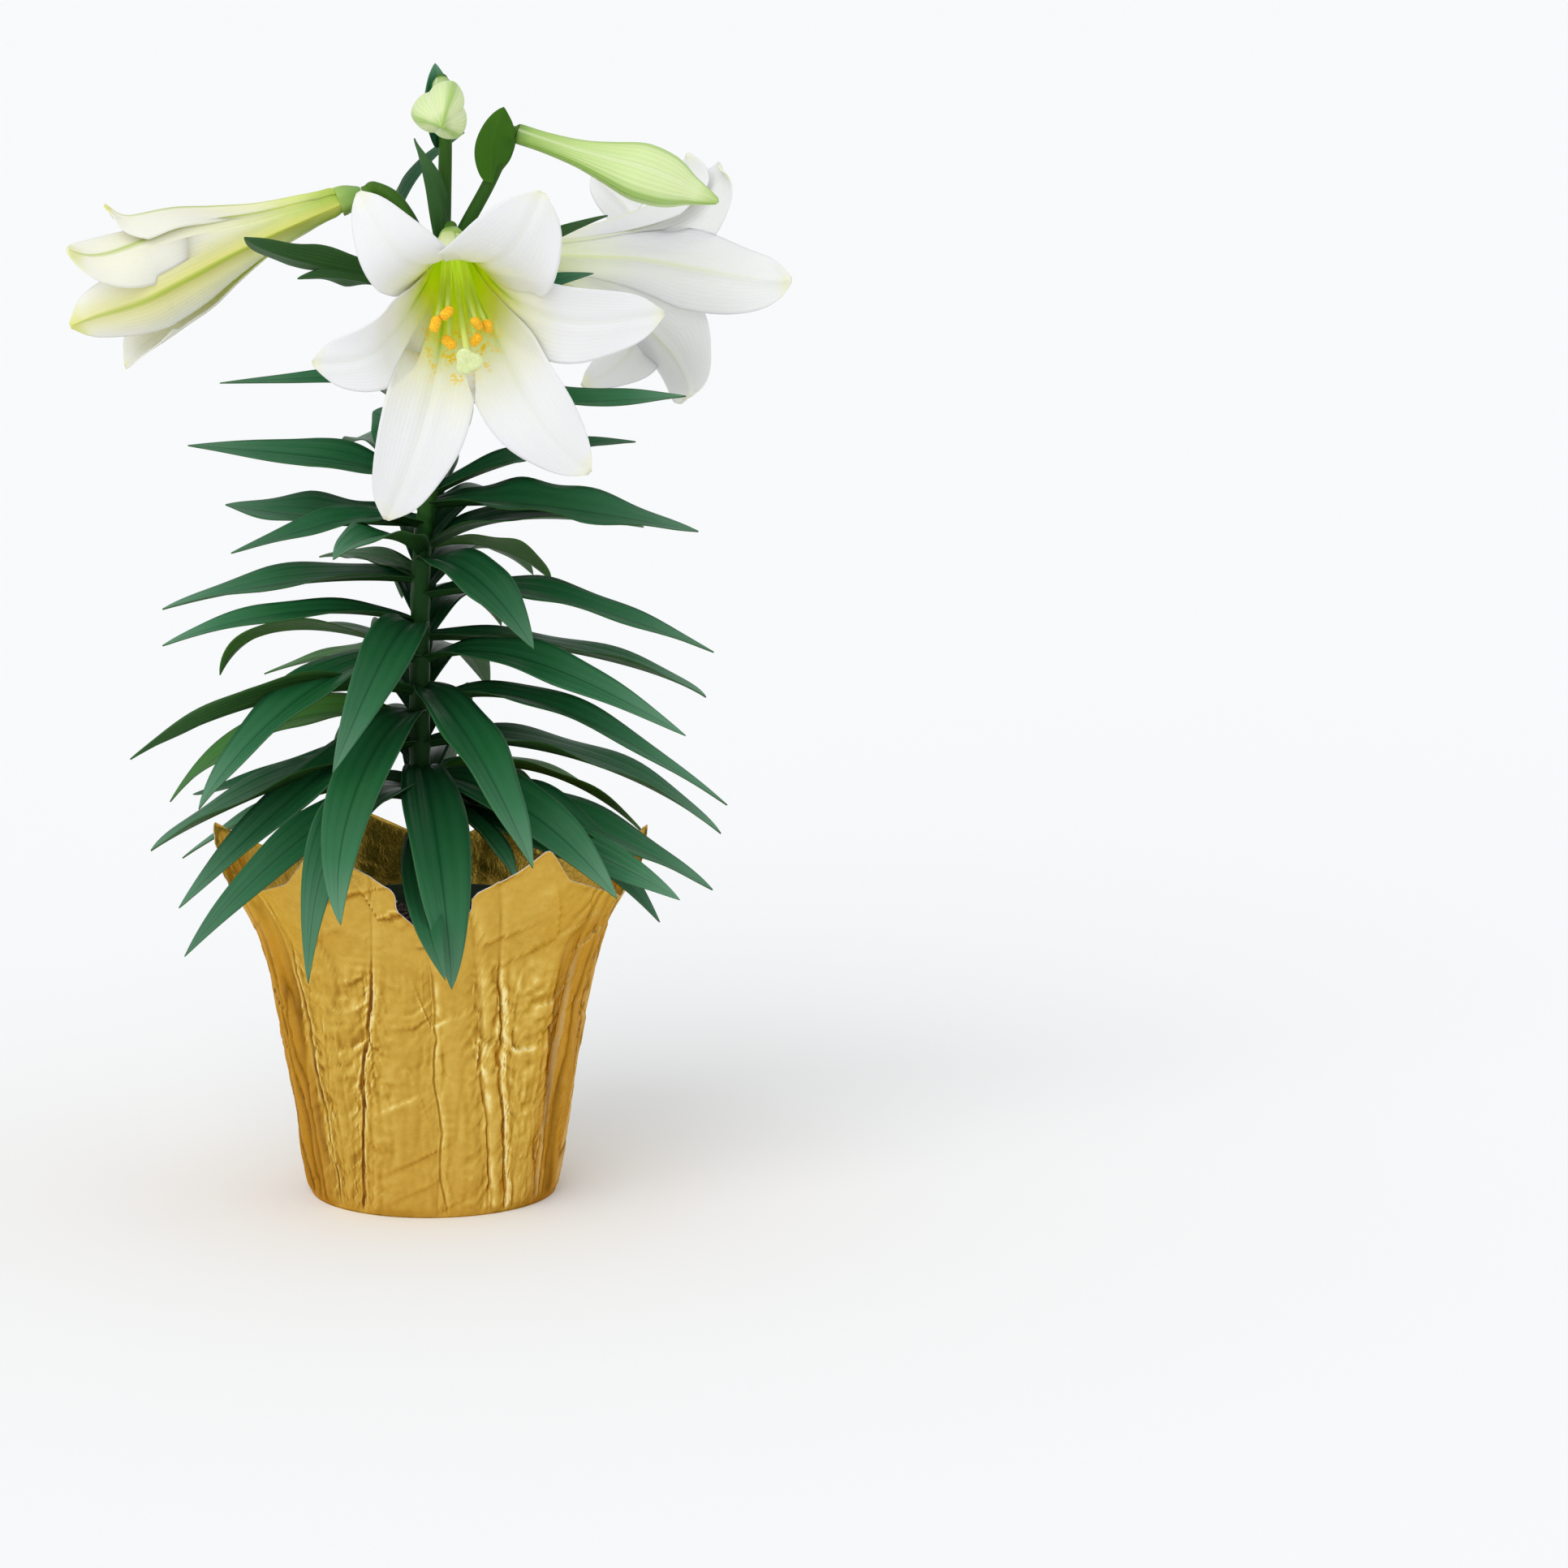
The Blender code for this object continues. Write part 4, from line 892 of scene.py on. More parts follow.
def bezier(corners, share):
    """Points of a cubic curve."""
    a, b, c, d = (np.asarray(corner, dtype=float) for corner in corners)
    share = np.asarray(share, dtype=float)[:, None]
    back = 1 - share
    return back ** 3 * a + 3 * back * back * share * b + 3 * back * share * share * c + share ** 3 * d


def thin_sheet(loop, stops, place, ends, *constants):
    """A blade from rows of points that run over its upper side and back along its underside.

    Ends holds the finishes of its two end faces. Gives its points, its faces, its readings (along,
    across and the constants) and each face's finish.
    """
    rows, columns = loop.shape[:2]
    count = rows * columns
    faces = grid_faces(rows, columns) + [range(columns), range(count - columns, count)]
    finish_of = [int(column >= columns // 2 - 1) for column in range(columns)] * (rows - 1) + ends
    readings = [np.repeat(stops, columns), np.tile(np.concatenate([place, place[::-1]]), rows)]
    readings += [np.full(count, value) for value in constants]
    return (loop.reshape(-1, 3), faces, *readings), finish_of


def leaf_blade(draw, root, azimuth, reach, rise, arch, width, twist=0.0, sweep=0.0, droop=0.66, aged=0.0):
    """One leaf as a thin sheet with the readings along, across, tone and aged."""
    corners = [(LEAF_SINK, 0.0), (0.26 * reach, 0.26 * rise + arch),
               (droop * reach, (droop if droop < 0.9 else 0.0) * rise + arch), (reach, rise)]
    stops = np.linspace(0, 1, LEAF_ALONG + 1)
    out, up = bezier(corners, stops).T
    angle = np.radians(azimuth + sweep * stops ** 2)
    middle = np.asarray(root) + np.stack([out * np.cos(angle), out * np.sin(angle), up], axis=-1)
    tangent = unit(np.gradient(middle, axis=0))
    side = np.stack([-np.sin(angle), np.cos(angle), np.zeros_like(angle)], axis=-1)
    side = unit(side - tangent * np.sum(side * tangent, axis=1, keepdims=True))
    above = np.cross(tangent, side)
    turn = np.radians(twist + LEAF_FACING * np.cos(angle)) * np.minimum(1.0, 1.6 * stops)
    across = np.cos(turn)[:, None] * side + np.sin(turn)[:, None] * above
    above = np.cross(tangent, across)
    half = 0.5 * width * leaf_outline(stops)[:, None]
    place = np.linspace(-1, 1, LEAF_ACROSS + 1)
    place = np.sign(place) * np.abs(place) ** 1.15
    wave = 0.0
    for edge in (-1, 1):
        beat = draw.uniform(1.6, 3.2)
        start = draw.uniform(0, 1)
        swing = np.sin(2 * math.pi * (beat * stops + start))[:, None]
        wave = wave + (np.sign(place) == edge) * np.abs(place) ** 2.5 * swing
    wave = wave * EDGE_WAVE * width * np.sin(math.pi * stops)[:, None]
    lift = half * math.sin(math.radians(LEAF_CHANNEL)) * np.abs(place) ** 1.2
    groove = 0.5 * hump(place * half, 1.3) * (1 - stops[:, None])
    upper = (middle[:, None] + across[:, None] * (half * place)[..., None]
             + above[:, None] * (lift + wave - groove)[..., None])
    keel = (LEAF_THICKNESS * (1.5 - stops[:, None]) - LEAF_EDGE) * hump(place * half, 2.4)
    under = upper - above[:, None] * (LEAF_EDGE + keel)[..., None]
    loop = np.concatenate([upper, under[:, ::-1]], axis=1)
    return thin_sheet(loop, stops, place, [0, 0], draw.random(), aged)


def leaf_upper_finish():
    """Waxy upper side: deep green, bluer and lighter to the tip with painted sheen, sunken midrib, veins."""
    paint = Paint("leaf_upper")
    across = paint.reading("across")
    offset = abs(across)
    # darker at the foot, partly its own colour and partly painted shade; lighter and bluer to the tip with a
    # painted sheen
    green = paint.ramp(
        paint.reading("along"), (0.0, (0.003, 0.032, 0.009)), (0.28, (0.005, 0.058, 0.016)),
        (0.56, (0.012, 0.110, 0.031)), (0.78, (0.046, 0.190, 0.084)), (1.0, (0.165, 0.345, 0.215)))
    deeper = paint.mix(paint.reading("tone") * 0.5, green, (0.006, 0.056, 0.020))
    mottled = paint.mix(paint.grain(45.0, 4.0) * 0.35, deeper, (0.014, 0.088, 0.030))
    yellowed = paint.mix(paint.reading("aged"), mottled, AGED_GREEN)
    veins = abs(offset.sine(7.5)) ** 2.0
    veined = paint.mix(veins * 0.10, yellowed, (0.050, 0.190, 0.080))
    # painted shade along the sunken midrib
    ribbed = paint.mix(offset.band(14.0) * 0.65, veined, (0.004, 0.038, 0.014))
    # painted highlight: a thin pale line along the edges
    edge_highlighted = paint.mix(offset.between(0.93, 0.99) * 0.45, ribbed, (0.10, 0.24, 0.12))
    paint.bump(across.sine(34.0), 0.08, 0.0005)
    paint.bump(veins, 0.16, 0.0008)
    paint.bump(paint.grain(260.0, 3.0), 0.12, 0.0008)
    rough = paint.grain(130.0).between(0.0, 1.0, 0.30, 0.42)
    return paint.coat({"Base Color": edge_highlighted, "Roughness": rough, "Specular IOR Level": 0.12})


def leaf_under_finish():
    """Matt underside: olive green with a raised midrib, darker with painted shade, lighter to the tip with
    painted light.
    """
    paint = Paint("leaf_under")
    # painted shade and light: darkest near the foot, lighter where the tips catch the light
    green = paint.ramp(paint.reading("along"), (0.0, (0.010, 0.045, 0.008)), (0.5, (0.026, 0.085, 0.014)),
                       (1.0, (0.055, 0.140, 0.045)))
    yellowed = paint.mix(paint.reading("aged"), green, AGED_GREEN)
    mottled = paint.mix(paint.grain(60.0, 4.0) * 0.4, yellowed, (0.020, 0.080, 0.018))
    lines = paint.reading("across").sine(34.0)
    veined = paint.mix(lines.math("MAXIMUM", 0.0) * 0.12, mottled, (0.060, 0.165, 0.050))
    paint.bump(lines, 0.2, 0.0005)
    return paint.coat({"Base Color": veined, "Roughness": 0.55, "Specular IOR Level": 0.15})


def build_leaves():
    """Every leaf as one piece, with the two small leaves beside the buds."""
    draw = random.Random(11)
    rows = [(stem_axis(foot), *shape) for foot, *shape in LEAVES + back_leaves()]
    blades = [leaf_blade(draw, *row) for row in rows + BRACTS]
    points, faces, along, across, tone, aged, finish_of = join_sheets(blades)
    readings = {"along": along, "across": across, "tone": tone, "aged": aged}
    make_piece("leaves", points, faces, [leaf_upper_finish(), leaf_under_finish()], ["leafy_stem"],
               readings, finish_of)


build_leaves()


# Flower stalks
# Five round green stalks that part at the top of the stem, each bending to meet the foot of its
# flower squarely.

STALK_RADIUS = 2.6
STALK_SIDES = 14
STALK_POINTS = 40


def flower_frame(base, axis):
    """A flower's base, its two cross directions as seen facing its mouth, and its axis."""
    axis = unit(axis)
    up = unit(np.array([0.0, 0.0, 1.0]) - axis * axis[2])
    right = np.cross(up, axis)
    return np.asarray(base, dtype=float), right, up, axis


FRONT_BLOOM = flower_frame((13, -18, 438), (0.08, -0.95, -0.30))
RIGHT_BLOOM = flower_frame((26, 15, 425), (0.80, 0.58, -0.14))
LEFT_BLOOM = flower_frame((-27, -3, 454), (-0.925, -0.12, -0.35))
RIGHT_BUD = flower_frame((42, -1, 480), (0.94, -0.10, -0.31))
TOP_BUD = flower_frame((8.5, 2, 501), (0.05, -0.99, -0.13))
STALKS = [                  # the flower, how far the stalk's end flares to its foot, and the stalk's route
    (FRONT_BLOOM, 0.0, [(8, -3, 420), (12, -10, 436)]),
    (RIGHT_BLOOM, 0.0, [(6, 2, 418), (14, 7, 427)]),
    (LEFT_BLOOM, 0.0, [(2, -1, 418), (-3, -2, 436), (-12, -3, 451)]),
    (RIGHT_BUD, 1.8, [(8, 1, 418), (18, 1, 438), (29, 1, 458), (36, 0, 474)]),
    (TOP_BUD, 1.4, [(8, 1, 418), (9, 3, 446), (9.5, 8, 482)]),
]


def build_stalks():
    """The stalks as one piece."""
    parts = []
    for (base, _, _, axis), flare, route in STALKS:
        knots = [np.asarray(place, dtype=float) for place in route]
        knots += [base - axis * 6.0, base - axis * 3.0, base - axis * CLEARANCE]
        path = curve_through(knots, STALK_POINTS)
        radii = np.linspace(STALK_RADIUS + 0.6, STALK_RADIUS, len(path))
        radii += flare * smooth_step(0.86, 1.0, np.linspace(0, 1, len(path)))
        points, faces, along = tube(path, radii, STALK_SIDES)
        parts.append((points, faces, 0.7 + 0.3 * along))
    points, faces, along = join_parts(parts)
    make_piece("flower_stalks", points, faces, [bpy.data.materials["stem_green"]], ["leafy_stem"],
               {"along": along})


build_stalks()


# Front bloom
# A fully open trumpet facing the viewer: six thick white tepals, the outer three behind the
# broader inner three, joined at a green foot. Its throat is yellow-green and dusted with pollen.

TEPAL_THICKNESS = 0.8
TEPAL_EDGE = 0.45
LAYER_GAP = 0.3
FOOT_LENGTH = 11.0
FOOT_PROFILE = [(0.0, 2.6), (0.5, 3.1), (2.5, 4.2), (5.0, 5.4), (7.0, 6.1), (9.5, 6.5), (FOOT_LENGTH, 6.5)]
FOOT_POINTS = 25
FOOT_SIDES = 36
TEPAL_ALONG = 72
TEPAL_ACROSS = 24
TEPAL_CUP = 0.006
TEPAL_WAVE = 1.3            # height of the waves in a spread tepal's edges
ROOT_SINK = 1.7             # how far a tepal's root sinks into the foot
CHANNEL_DEPTH = 0.9         # of the groove along a tepal's midrib, and of the ribs beside it
SHOULDER_HEIGHT = 0.35
LEAST_BEND = 2.5            # the smallest radius that a tepal's root bends to
LEAST_WIDTH = 0.35          # half the width of a tepal's tip
TEPAL_LAP = 41.0            # half the turn that a tepal takes up in the tube, at most
TEPAL_LEAVE = 0.45          # how stiffly a tepal leaves the tube and arrives at its tip
TEPAL_ARRIVE = 0.40
TEPAL_OUTLINE = [           # (share of the length, share of the width)
    (0, 0.30), (0.3, 0.50), (0.5, 0.84), (0.62, 1.0), (0.75, 0.96), (0.88, 0.68), (0.95, 0.42), (1.0, 0.06),
]
OPEN_TUBE = [(8, 5.4), (28, 7.8), (50, 12.5), (70, 19.0), (85, 26.0), (97, 34.5)]      # (forward, out)

# Angle round the trumpet, whether it is of the inner layer, how far forward and out its tip is,
# curl of the tip and width; then, where a tepal needs it, the sideways lean of its tip.
FRONT_TEPALS = [
    (124, False, 91, 72, 135, 36, 2),
    (64, True, 116, 79, 115, 52),
    (8, False, 112, 86, 91, 39, -1),
    (-42, True, 119, 83, 83, 41, -8),
    (-110, False, 118, 87, 98, 39, -2),
    (-173, True, 98, 66, 112, 37, 9),
]


def tepal_course(tube_line, tip_forward, tip_out, curl, count):
    """Centre line of a tepal as (forward, out): along the tube, then free to its tip."""
    end = np.asarray(tube_line[-1], dtype=float)
    slope = unit(end - np.asarray(tube_line[-2], dtype=float))
    tip = np.array([tip_forward, tip_out], dtype=float)
    span = np.linalg.norm(tip - end)
    turn = math.radians(curl)
    arrive = np.array([math.cos(turn), math.sin(turn)])
    corners = [end, end + slope * span * TEPAL_LEAVE, tip - arrive * span * TEPAL_ARRIVE, tip]
    line = np.vstack([curve_through(tube_line, 60), bezier(corners, np.linspace(0, 1, 60)[1:])])
    lengths = np.concatenate([[0], np.cumsum(np.linalg.norm(np.diff(line, axis=0), axis=1))])
    places = np.linspace(0, lengths[-1], count)
    return np.column_stack([np.interp(places, lengths, line[:, axis]) for axis in range(2)])


def tepal_width(share, width):
    """Width of a spread tepal along its length, broadest where the mouth opens."""
    smooth = curve_through(TEPAL_OUTLINE, 160)
    return width * np.interp(share, smooth[:, 0], smooth[:, 1])


def tepal(draw, flower, tube_line, angle, inner, tip_forward, tip_out, curl, width, lean=0.0):
    """One tepal as a thin sheet with the readings along, across and tone."""
    base, right, up, axis = flower
    course = tepal_course(tube_line, tip_forward, tip_out, curl, TEPAL_ALONG + 1)
    turn = math.radians(angle)
    out_way = math.cos(turn) * right + math.sin(turn) * up
    side_way = np.cross(axis, out_way)
    slopes = unit(np.gradient(course, axis=0))
    shares = np.linspace(0, 1, TEPAL_ALONG + 1)
    place = np.linspace(-1, 1, TEPAL_ACROSS + 1)
    starts = {edge: draw.uniform(0, 1) for edge in (-1, 1)}
    beats = {edge: draw.uniform(2.2, 3.4) for edge in (-1, 1)}
    loop = []
    for (forward, out), slope, share in zip(course, slopes, shares):
        spread = float(smooth_step(0.55, 0.85, share))
        parting = 0.5 * (LAYER_GAP + TEPAL_THICKNESS) + 0.8 * spread
        out += -parting if inner else parting
        out -= ROOT_SINK * (1 - float(smooth_step(0.0, 0.055, share)))
        outer = slope[0] * out_way - slope[1] * axis
        curvature = slope[0] / max(LEAST_BEND, out) + TEPAL_CUP * spread
        half = 0.5 * tepal_width(share, width)
        if forward < tube_line[-1][0]:
            half = min(half, max(LEAST_BEND, out) * math.radians(TEPAL_LAP))
        middle = base + axis * forward + out_way * out + side_way * lean * smooth_step(0.4, 1.0, share)
        across = max(half, LEAST_WIDTH) * place
        bend = across * curvature
        aside = across * np.sinc(bend / math.pi)
        inward = 0.5 * across * bend * np.sinc(0.5 * bend / math.pi) ** 2
        normal = outer[None, :] * np.cos(bend)[:, None] + side_way[None, :] * np.sin(bend)[:, None]
        wave = sum((np.sign(place) == edge) * np.abs(place) ** 2.2
                   * math.sin(2 * math.pi * (beats[edge] * share + starts[edge])) for edge in (-1, 1))
        channel = CHANNEL_DEPTH * hump(across, 2.6) - SHOULDER_HEIGHT * hump(np.abs(across) - 4.2, 2.6)
        rise = (channel * (1 - 0.55 * spread) * smooth_step(0.05, 0.2, share)
                + TEPAL_WAVE * wave * spread * (1 - smooth_step(0.93, 1.0, share)))
        inside = middle + side_way * aside[:, None] - outer * inward[:, None] + normal * rise[:, None]
        thick = TEPAL_EDGE + (TEPAL_THICKNESS - TEPAL_EDGE) * (1 - np.abs(place) ** 3)
        thick = thick + 0.5 * hump(across, 1.6) * (1 - 0.5 * share)
        outside = inside + normal * thick[:, None]
        loop.append(np.vstack([inside, outside[::-1]]))
    return thin_sheet(np.array(loop), shares, place, [1, 0], draw.random())


def painted_glow(paint, strength, *stops):
    """A painted glow that stands in for daylight through a thin live tissue, by its reading along the petal.
    """
    glow = paint.ramp(paint.reading("along"), *stops)
    paint.plug(paint.shader, {"Emission Color": glow, "Emission Strength": strength})


def petal(name, stops, keel, flush, fades=(0.30, 0.95)):
    """A soft waxy petal: a gradient along it, fine veins, and a tinted midrib with a flush round it.

    The keel and the flush are a colour and a strength each, and both fade along the petal. The
    flush is stronger on some petals than on others, by each petal's own tone.
    """
    paint = Paint(name)
    along = paint.reading("along")
    across = paint.reading("across")
    uneven = (paint.grain(120.0, 3.0) - 0.5) * 0.10
    colour = paint.ramp(along + uneven + across.sine(41.0) * 0.012, *stops)
    fade = along.between(*fades, 1.0, 0.05)
    flushed = paint.reading("tone").between(0.44, 0.66, 0.15, 1.0)
    colour = paint.mix(abs(across).band(1.2) * fade * flush[1] * flushed, colour, flush[0])
    colour = paint.mix(abs(across).band(9.0) * fade * keel[1], colour, keel[0])
    lines = across.sine(62.0)
    colour = paint.mix(lines.math("MAXIMUM", 0.0) * 0.03, colour, (0.62, 0.64, 0.68))
    paint.bump(lines, 0.08, 0.0006)
    paint.bump(paint.grain(1500.0, 2.0), 0.08, 0.0003)
    paint.coat({"Base Color": colour, "Roughness": 0.50, "Specular IOR Level": 0.30,
                "Subsurface Weight": 0.40, "Subsurface Scale": 1.0,
                "Subsurface Radius": (0.0025, 0.0025, 0.0018)})
    return paint


WHITE = (0.805, 0.805, 0.805)
TIP_CREAM = (0.82, 0.82, 0.60)
DARK = (0.0, 0.0, 0.0)


def white_inside(name):
    """Inner face of an open tepal: yellow-green throat, cream, then clean white to the tip."""
    paint = petal(name, [
        (0.10, (0.50, 0.66, 0.012)), (0.30, (0.72, 0.78, 0.02)), (0.38, (0.86, 0.85, 0.14)),
        (0.46, (0.87, 0.86, 0.44)), (0.57, (0.85, 0.85, 0.68)), (0.70, WHITE), (0.955, WHITE),
        (1.0, TIP_CREAM),
    ], ((0.26, 0.50, 0.010), 0.85), ((0.42, 0.62, 0.02), 0.35), (0.36, 0.54))
    # painted glow: the throat glows yellow-green
    painted_glow(paint, 0.12, (0.10, (0.60, 0.85, 0.0)), (0.28, (0.70, 0.85, 0.0)), (0.42, DARK))
    return paint


def dust_with_pollen(paint, middle, reach):
    """Pollen fallen on a petal round a place, in loose clouds of grains."""
    colour = Value(paint, paint.shader.inputs["Base Color"].links[0].from_socket)
    away = paint.node("ShaderNodeVectorMath", {0: paint.place(), 1: middle}, "Value", operation="DISTANCE")
    cloud = paint.grain(160.0, 3.0).between(0.48, 0.58)
    specks = paint.grain(650.0, 2.0).between(0.46, 0.52)
    dusted = paint.mix(cloud * specks * away.between(reach, 0.5 * reach), colour, (1.0, 0.62, 0.02))
    return paint.coat({"Base Color": dusted})


def flower_foot_finish():
    """The fresh green foot of a flower."""
    paint = Paint("flower_foot")
    green = paint.ramp(paint.reading("along"), (0.0, (0.10, 0.26, 0.05)), (1.0, (0.34, 0.50, 0.09)))
    colour = paint.mix(paint.grain(300.0, 4.0) * 0.3, green, (0.20, 0.38, 0.07))
    paint.bump(paint.grain(600.0, 3.0, (1.0, 1.0, 0.4)), 0.2, 0.0006)
    return paint.coat({"Base Color": colour, "Roughness": 0.45})


def spindle(start, way, profile, points, sides, relief):
    """A round body along a straight line, from its profile of (distance, radius)."""
    path = curve_through([start + way * distance for distance, _ in profile], points)
    knots = range(len(profile))
    radii = np.interp(np.linspace(0, knots[-1], points), knots, [radius for _, radius in profile])
    return tube(path, radii, sides, relief)


def build_bloom(name, node_name, seed, flower, tube_line, rows, finishes):
    """A trumpet of six tepals and its foot, as two pieces for one bloom."""
    draw = random.Random(seed)
    tepals = [tepal(draw, flower, tube_line, *row) for row in rows]
    points, faces, along, across, tone, finish_of = join_sheets(tepals)
    readings = {"along": along, "across": across, "tone": tone}
    make_piece(name + "_tepals", points, faces, finishes, [node_name], readings, finish_of)
    base, _, _, axis = flower
    points, faces, along = spindle(base, axis, FOOT_PROFILE, FOOT_POINTS, FOOT_SIDES,
                                   lambda _, turn: 0.03 * np.cos(6 * turn))
    make_piece(name + "_foot", points, faces, [FLOWER_FOOT], [node_name], {"along": along})


FLOWER_FOOT = flower_foot_finish()
WHITE_OUTSIDE = petal("tepal_white_outside", [
    (0.04, (0.46, 0.58, 0.13)), (0.16, (0.72, 0.78, 0.42)), (0.34, (0.85, 0.86, 0.70)),
    (0.48, WHITE), (0.95, WHITE), (1.0, TIP_CREAM),
], ((0.70, 0.76, 0.30), 0.60), ((0.82, 0.85, 0.62), 0.35)).material
POLLEN_FALL = (0.0188, -0.0890, 0.3975)     # metres, on the lower tepals under the anthers
POLLEN_REACH = 0.023
WHITE_DUSTED = dust_with_pollen(white_inside("tepal_white_dusted"), POLLEN_FALL, POLLEN_REACH)
build_bloom("front_trumpet", "front_bloom", 41, FRONT_BLOOM, OPEN_TUBE, FRONT_TEPALS,
            [WHITE_DUSTED, WHITE_OUTSIDE])


# Right bloom
# The same kind of open trumpet turned away from the viewer, so that its back and its strongly
# rolled tepals show.

RIGHT_TEPALS = [
    (166, False, 125, 60, 70, 39, 12),
    (125, True, 103, 58, 170, 42, -5),
    (80, False, 98, 50, 107, 38, 19),
    (27, True, 104, 85, 66, 32, 4),
    (-60, False, 84, 66, 144, 40),
    (-121, True, 105, 60, 172, 55, 14),
]
build_bloom("right_trumpet", "right_bloom", 42, RIGHT_BLOOM, OPEN_TUBE, RIGHT_TEPALS,
            [white_inside("tepal_white_inside").material, WHITE_OUTSIDE])


# Left bloom
# A trumpet just opening, its cream tepals still close together with yellow-green keels and only
# their tips parting.

OPENING_TUBE = [(8, 5.4), (25, 6.6), (46, 10.5), (64, 16.5), (80, 22.5), (97, 26.0)]
LEFT_TEPALS = [
    (-8, False, 141, 14, 14, 39, -4),
    (52, True, 130, 43, 59, 42, -9),
    (88, False, 108, 36, 60, 46, -8),
    (150, True, 126, 24, 30, 36),
    (205, False, 130, 26, 30, 38),
    (247, True, 126, 36, 47, 46, 7),
]
CREAM_INSIDE = petal("tepal_cream_inside", [
    (0.10, (0.42, 0.56, 0.04)), (0.45, (0.78, 0.82, 0.32)), (0.65, (0.86, 0.86, 0.66)),
    (0.97, (0.87, 0.86, 0.76)), (1.0, (0.78, 0.78, 0.40)),
], ((0.55, 0.66, 0.10), 0.6), ((0.72, 0.74, 0.24), 0.3))
CREAM_OUTSIDE = petal("tepal_cream_outside", [
    (0.05, (0.40, 0.54, 0.07)), (0.20, (0.68, 0.77, 0.26)), (0.40, (0.85, 0.85, 0.56)),
    (0.62, (0.86, 0.85, 0.70)), (0.94, (0.87, 0.86, 0.74)), (1.0, (0.70, 0.72, 0.22)),
], ((0.34, 0.46, 0.02), 0.90), ((0.70, 0.67, 0.15), 0.95), (0.55, 1.8))
build_bloom("left_trumpet", "left_bloom", 43, LEFT_BLOOM, OPENING_TUBE, LEFT_TEPALS,
            [CREAM_INSIDE.material, CREAM_OUTSIDE.material])


# Stamens and pistils
# Inside each trumpet six pale green filaments carry orange anthers that balance on their tips,
# round a longer pistil with a blunt three-lobed stigma.

FRONT_STAMENS = [(162, 11), (128, 9), (26, 8), (4, 12), (-32, 8), (-124, 8)]
EVEN_STAMENS = [(30 + 60 * number, 9) for number in range(6)]
OPEN_REACH = 92             # how far the stamens stand out of an open trumpet's foot
OPENING_REACH = 88          # and of the one just opening
FILAMENT_RADIUS = 1.2
FILAMENT_POINTS = 28
FILAMENT_SIDES = 10
STYLE_RADIUS = 1.3
STYLE_SURPLUS = 20          # how much further the pistil reaches than the stamens
STYLE_BEND = (2.6, -3.8)    # how far the pistil's head hangs aside and down
STYLE_POINTS = 40
STYLE_SIDES = 12
STIGMA_SIDES = 48
ANTHER_LENGTH = 6.8
ANTHER_POINTS = 19
ANTHER_SIDES = 18
STIGMA_SHAPE = [            # (distance along the axis, radius)
    (-3.0, 0.9), (-1.6, 2.6), (0.2, 4.4), (1.6, 5.5), (2.8, 5.8), (3.5, 5.2), (3.7, 3.4), (3.3, 1.2),
]
ANTHER_SHAPE = [            # (share of the length from its middle, radius)
    (-0.52, 0.525), (-0.46, 1.302), (-0.30, 2.058), (0.0, 2.1), (0.30, 2.058), (0.46, 1.302), (0.52, 0.525),
]


def filament_finish():
    """Pale green filaments and styles."""
    paint = Paint("filament_green")
    green = paint.ramp(paint.reading("along"), (0.0, (0.46, 0.64, 0.03)), (0.6, (0.60, 0.76, 0.09)),
                       (1.0, (0.74, 0.82, 0.26)))
    colour = paint.mix(paint.grain(400.0) * 0.25, green, (0.58, 0.74, 0.16))
    # painted glow: the lower filaments and styles glow green
    painted_glow(paint, 0.35, (0.0, (0.70, 0.85, 0.05)), (0.35, (0.55, 0.62, 0.05)), (0.65, DARK))
    paint.bump(paint.grain(900.0), 0.15, 0.0003)
    return paint.coat({"Base Color": colour, "Roughness": 0.4})


POLLEN_ORANGES = [(0.30, (0.80, 0.33, 0.005)), (0.50, (0.96, 0.50, 0.010)), (0.70, (0.98, 0.70, 0.04))]
STIGMA_CREAMS = [(0.35, (0.66, 0.76, 0.32)), (0.7, (0.78, 0.84, 0.46))]
STAMEN_FINISHES = [
    filament_finish(),
    grainy("pollen", (1600.0, 4.0), POLLEN_ORANGES, 0.85, ((1600.0, 4.0), 0.6, 0.0006)),
    grainy("stigma", (700.0,), STIGMA_CREAMS, 0.35, ((1300.0,), 0.4, 0.0004)),
]


def anther_lumps(share, angles):
    """Relief of an anther: its two pollen sacs and their uneven skin."""
    return 0.10 * np.cos(2 * angles + 0.8) + 0.05 * np.sin(5 * angles + 21 * share)


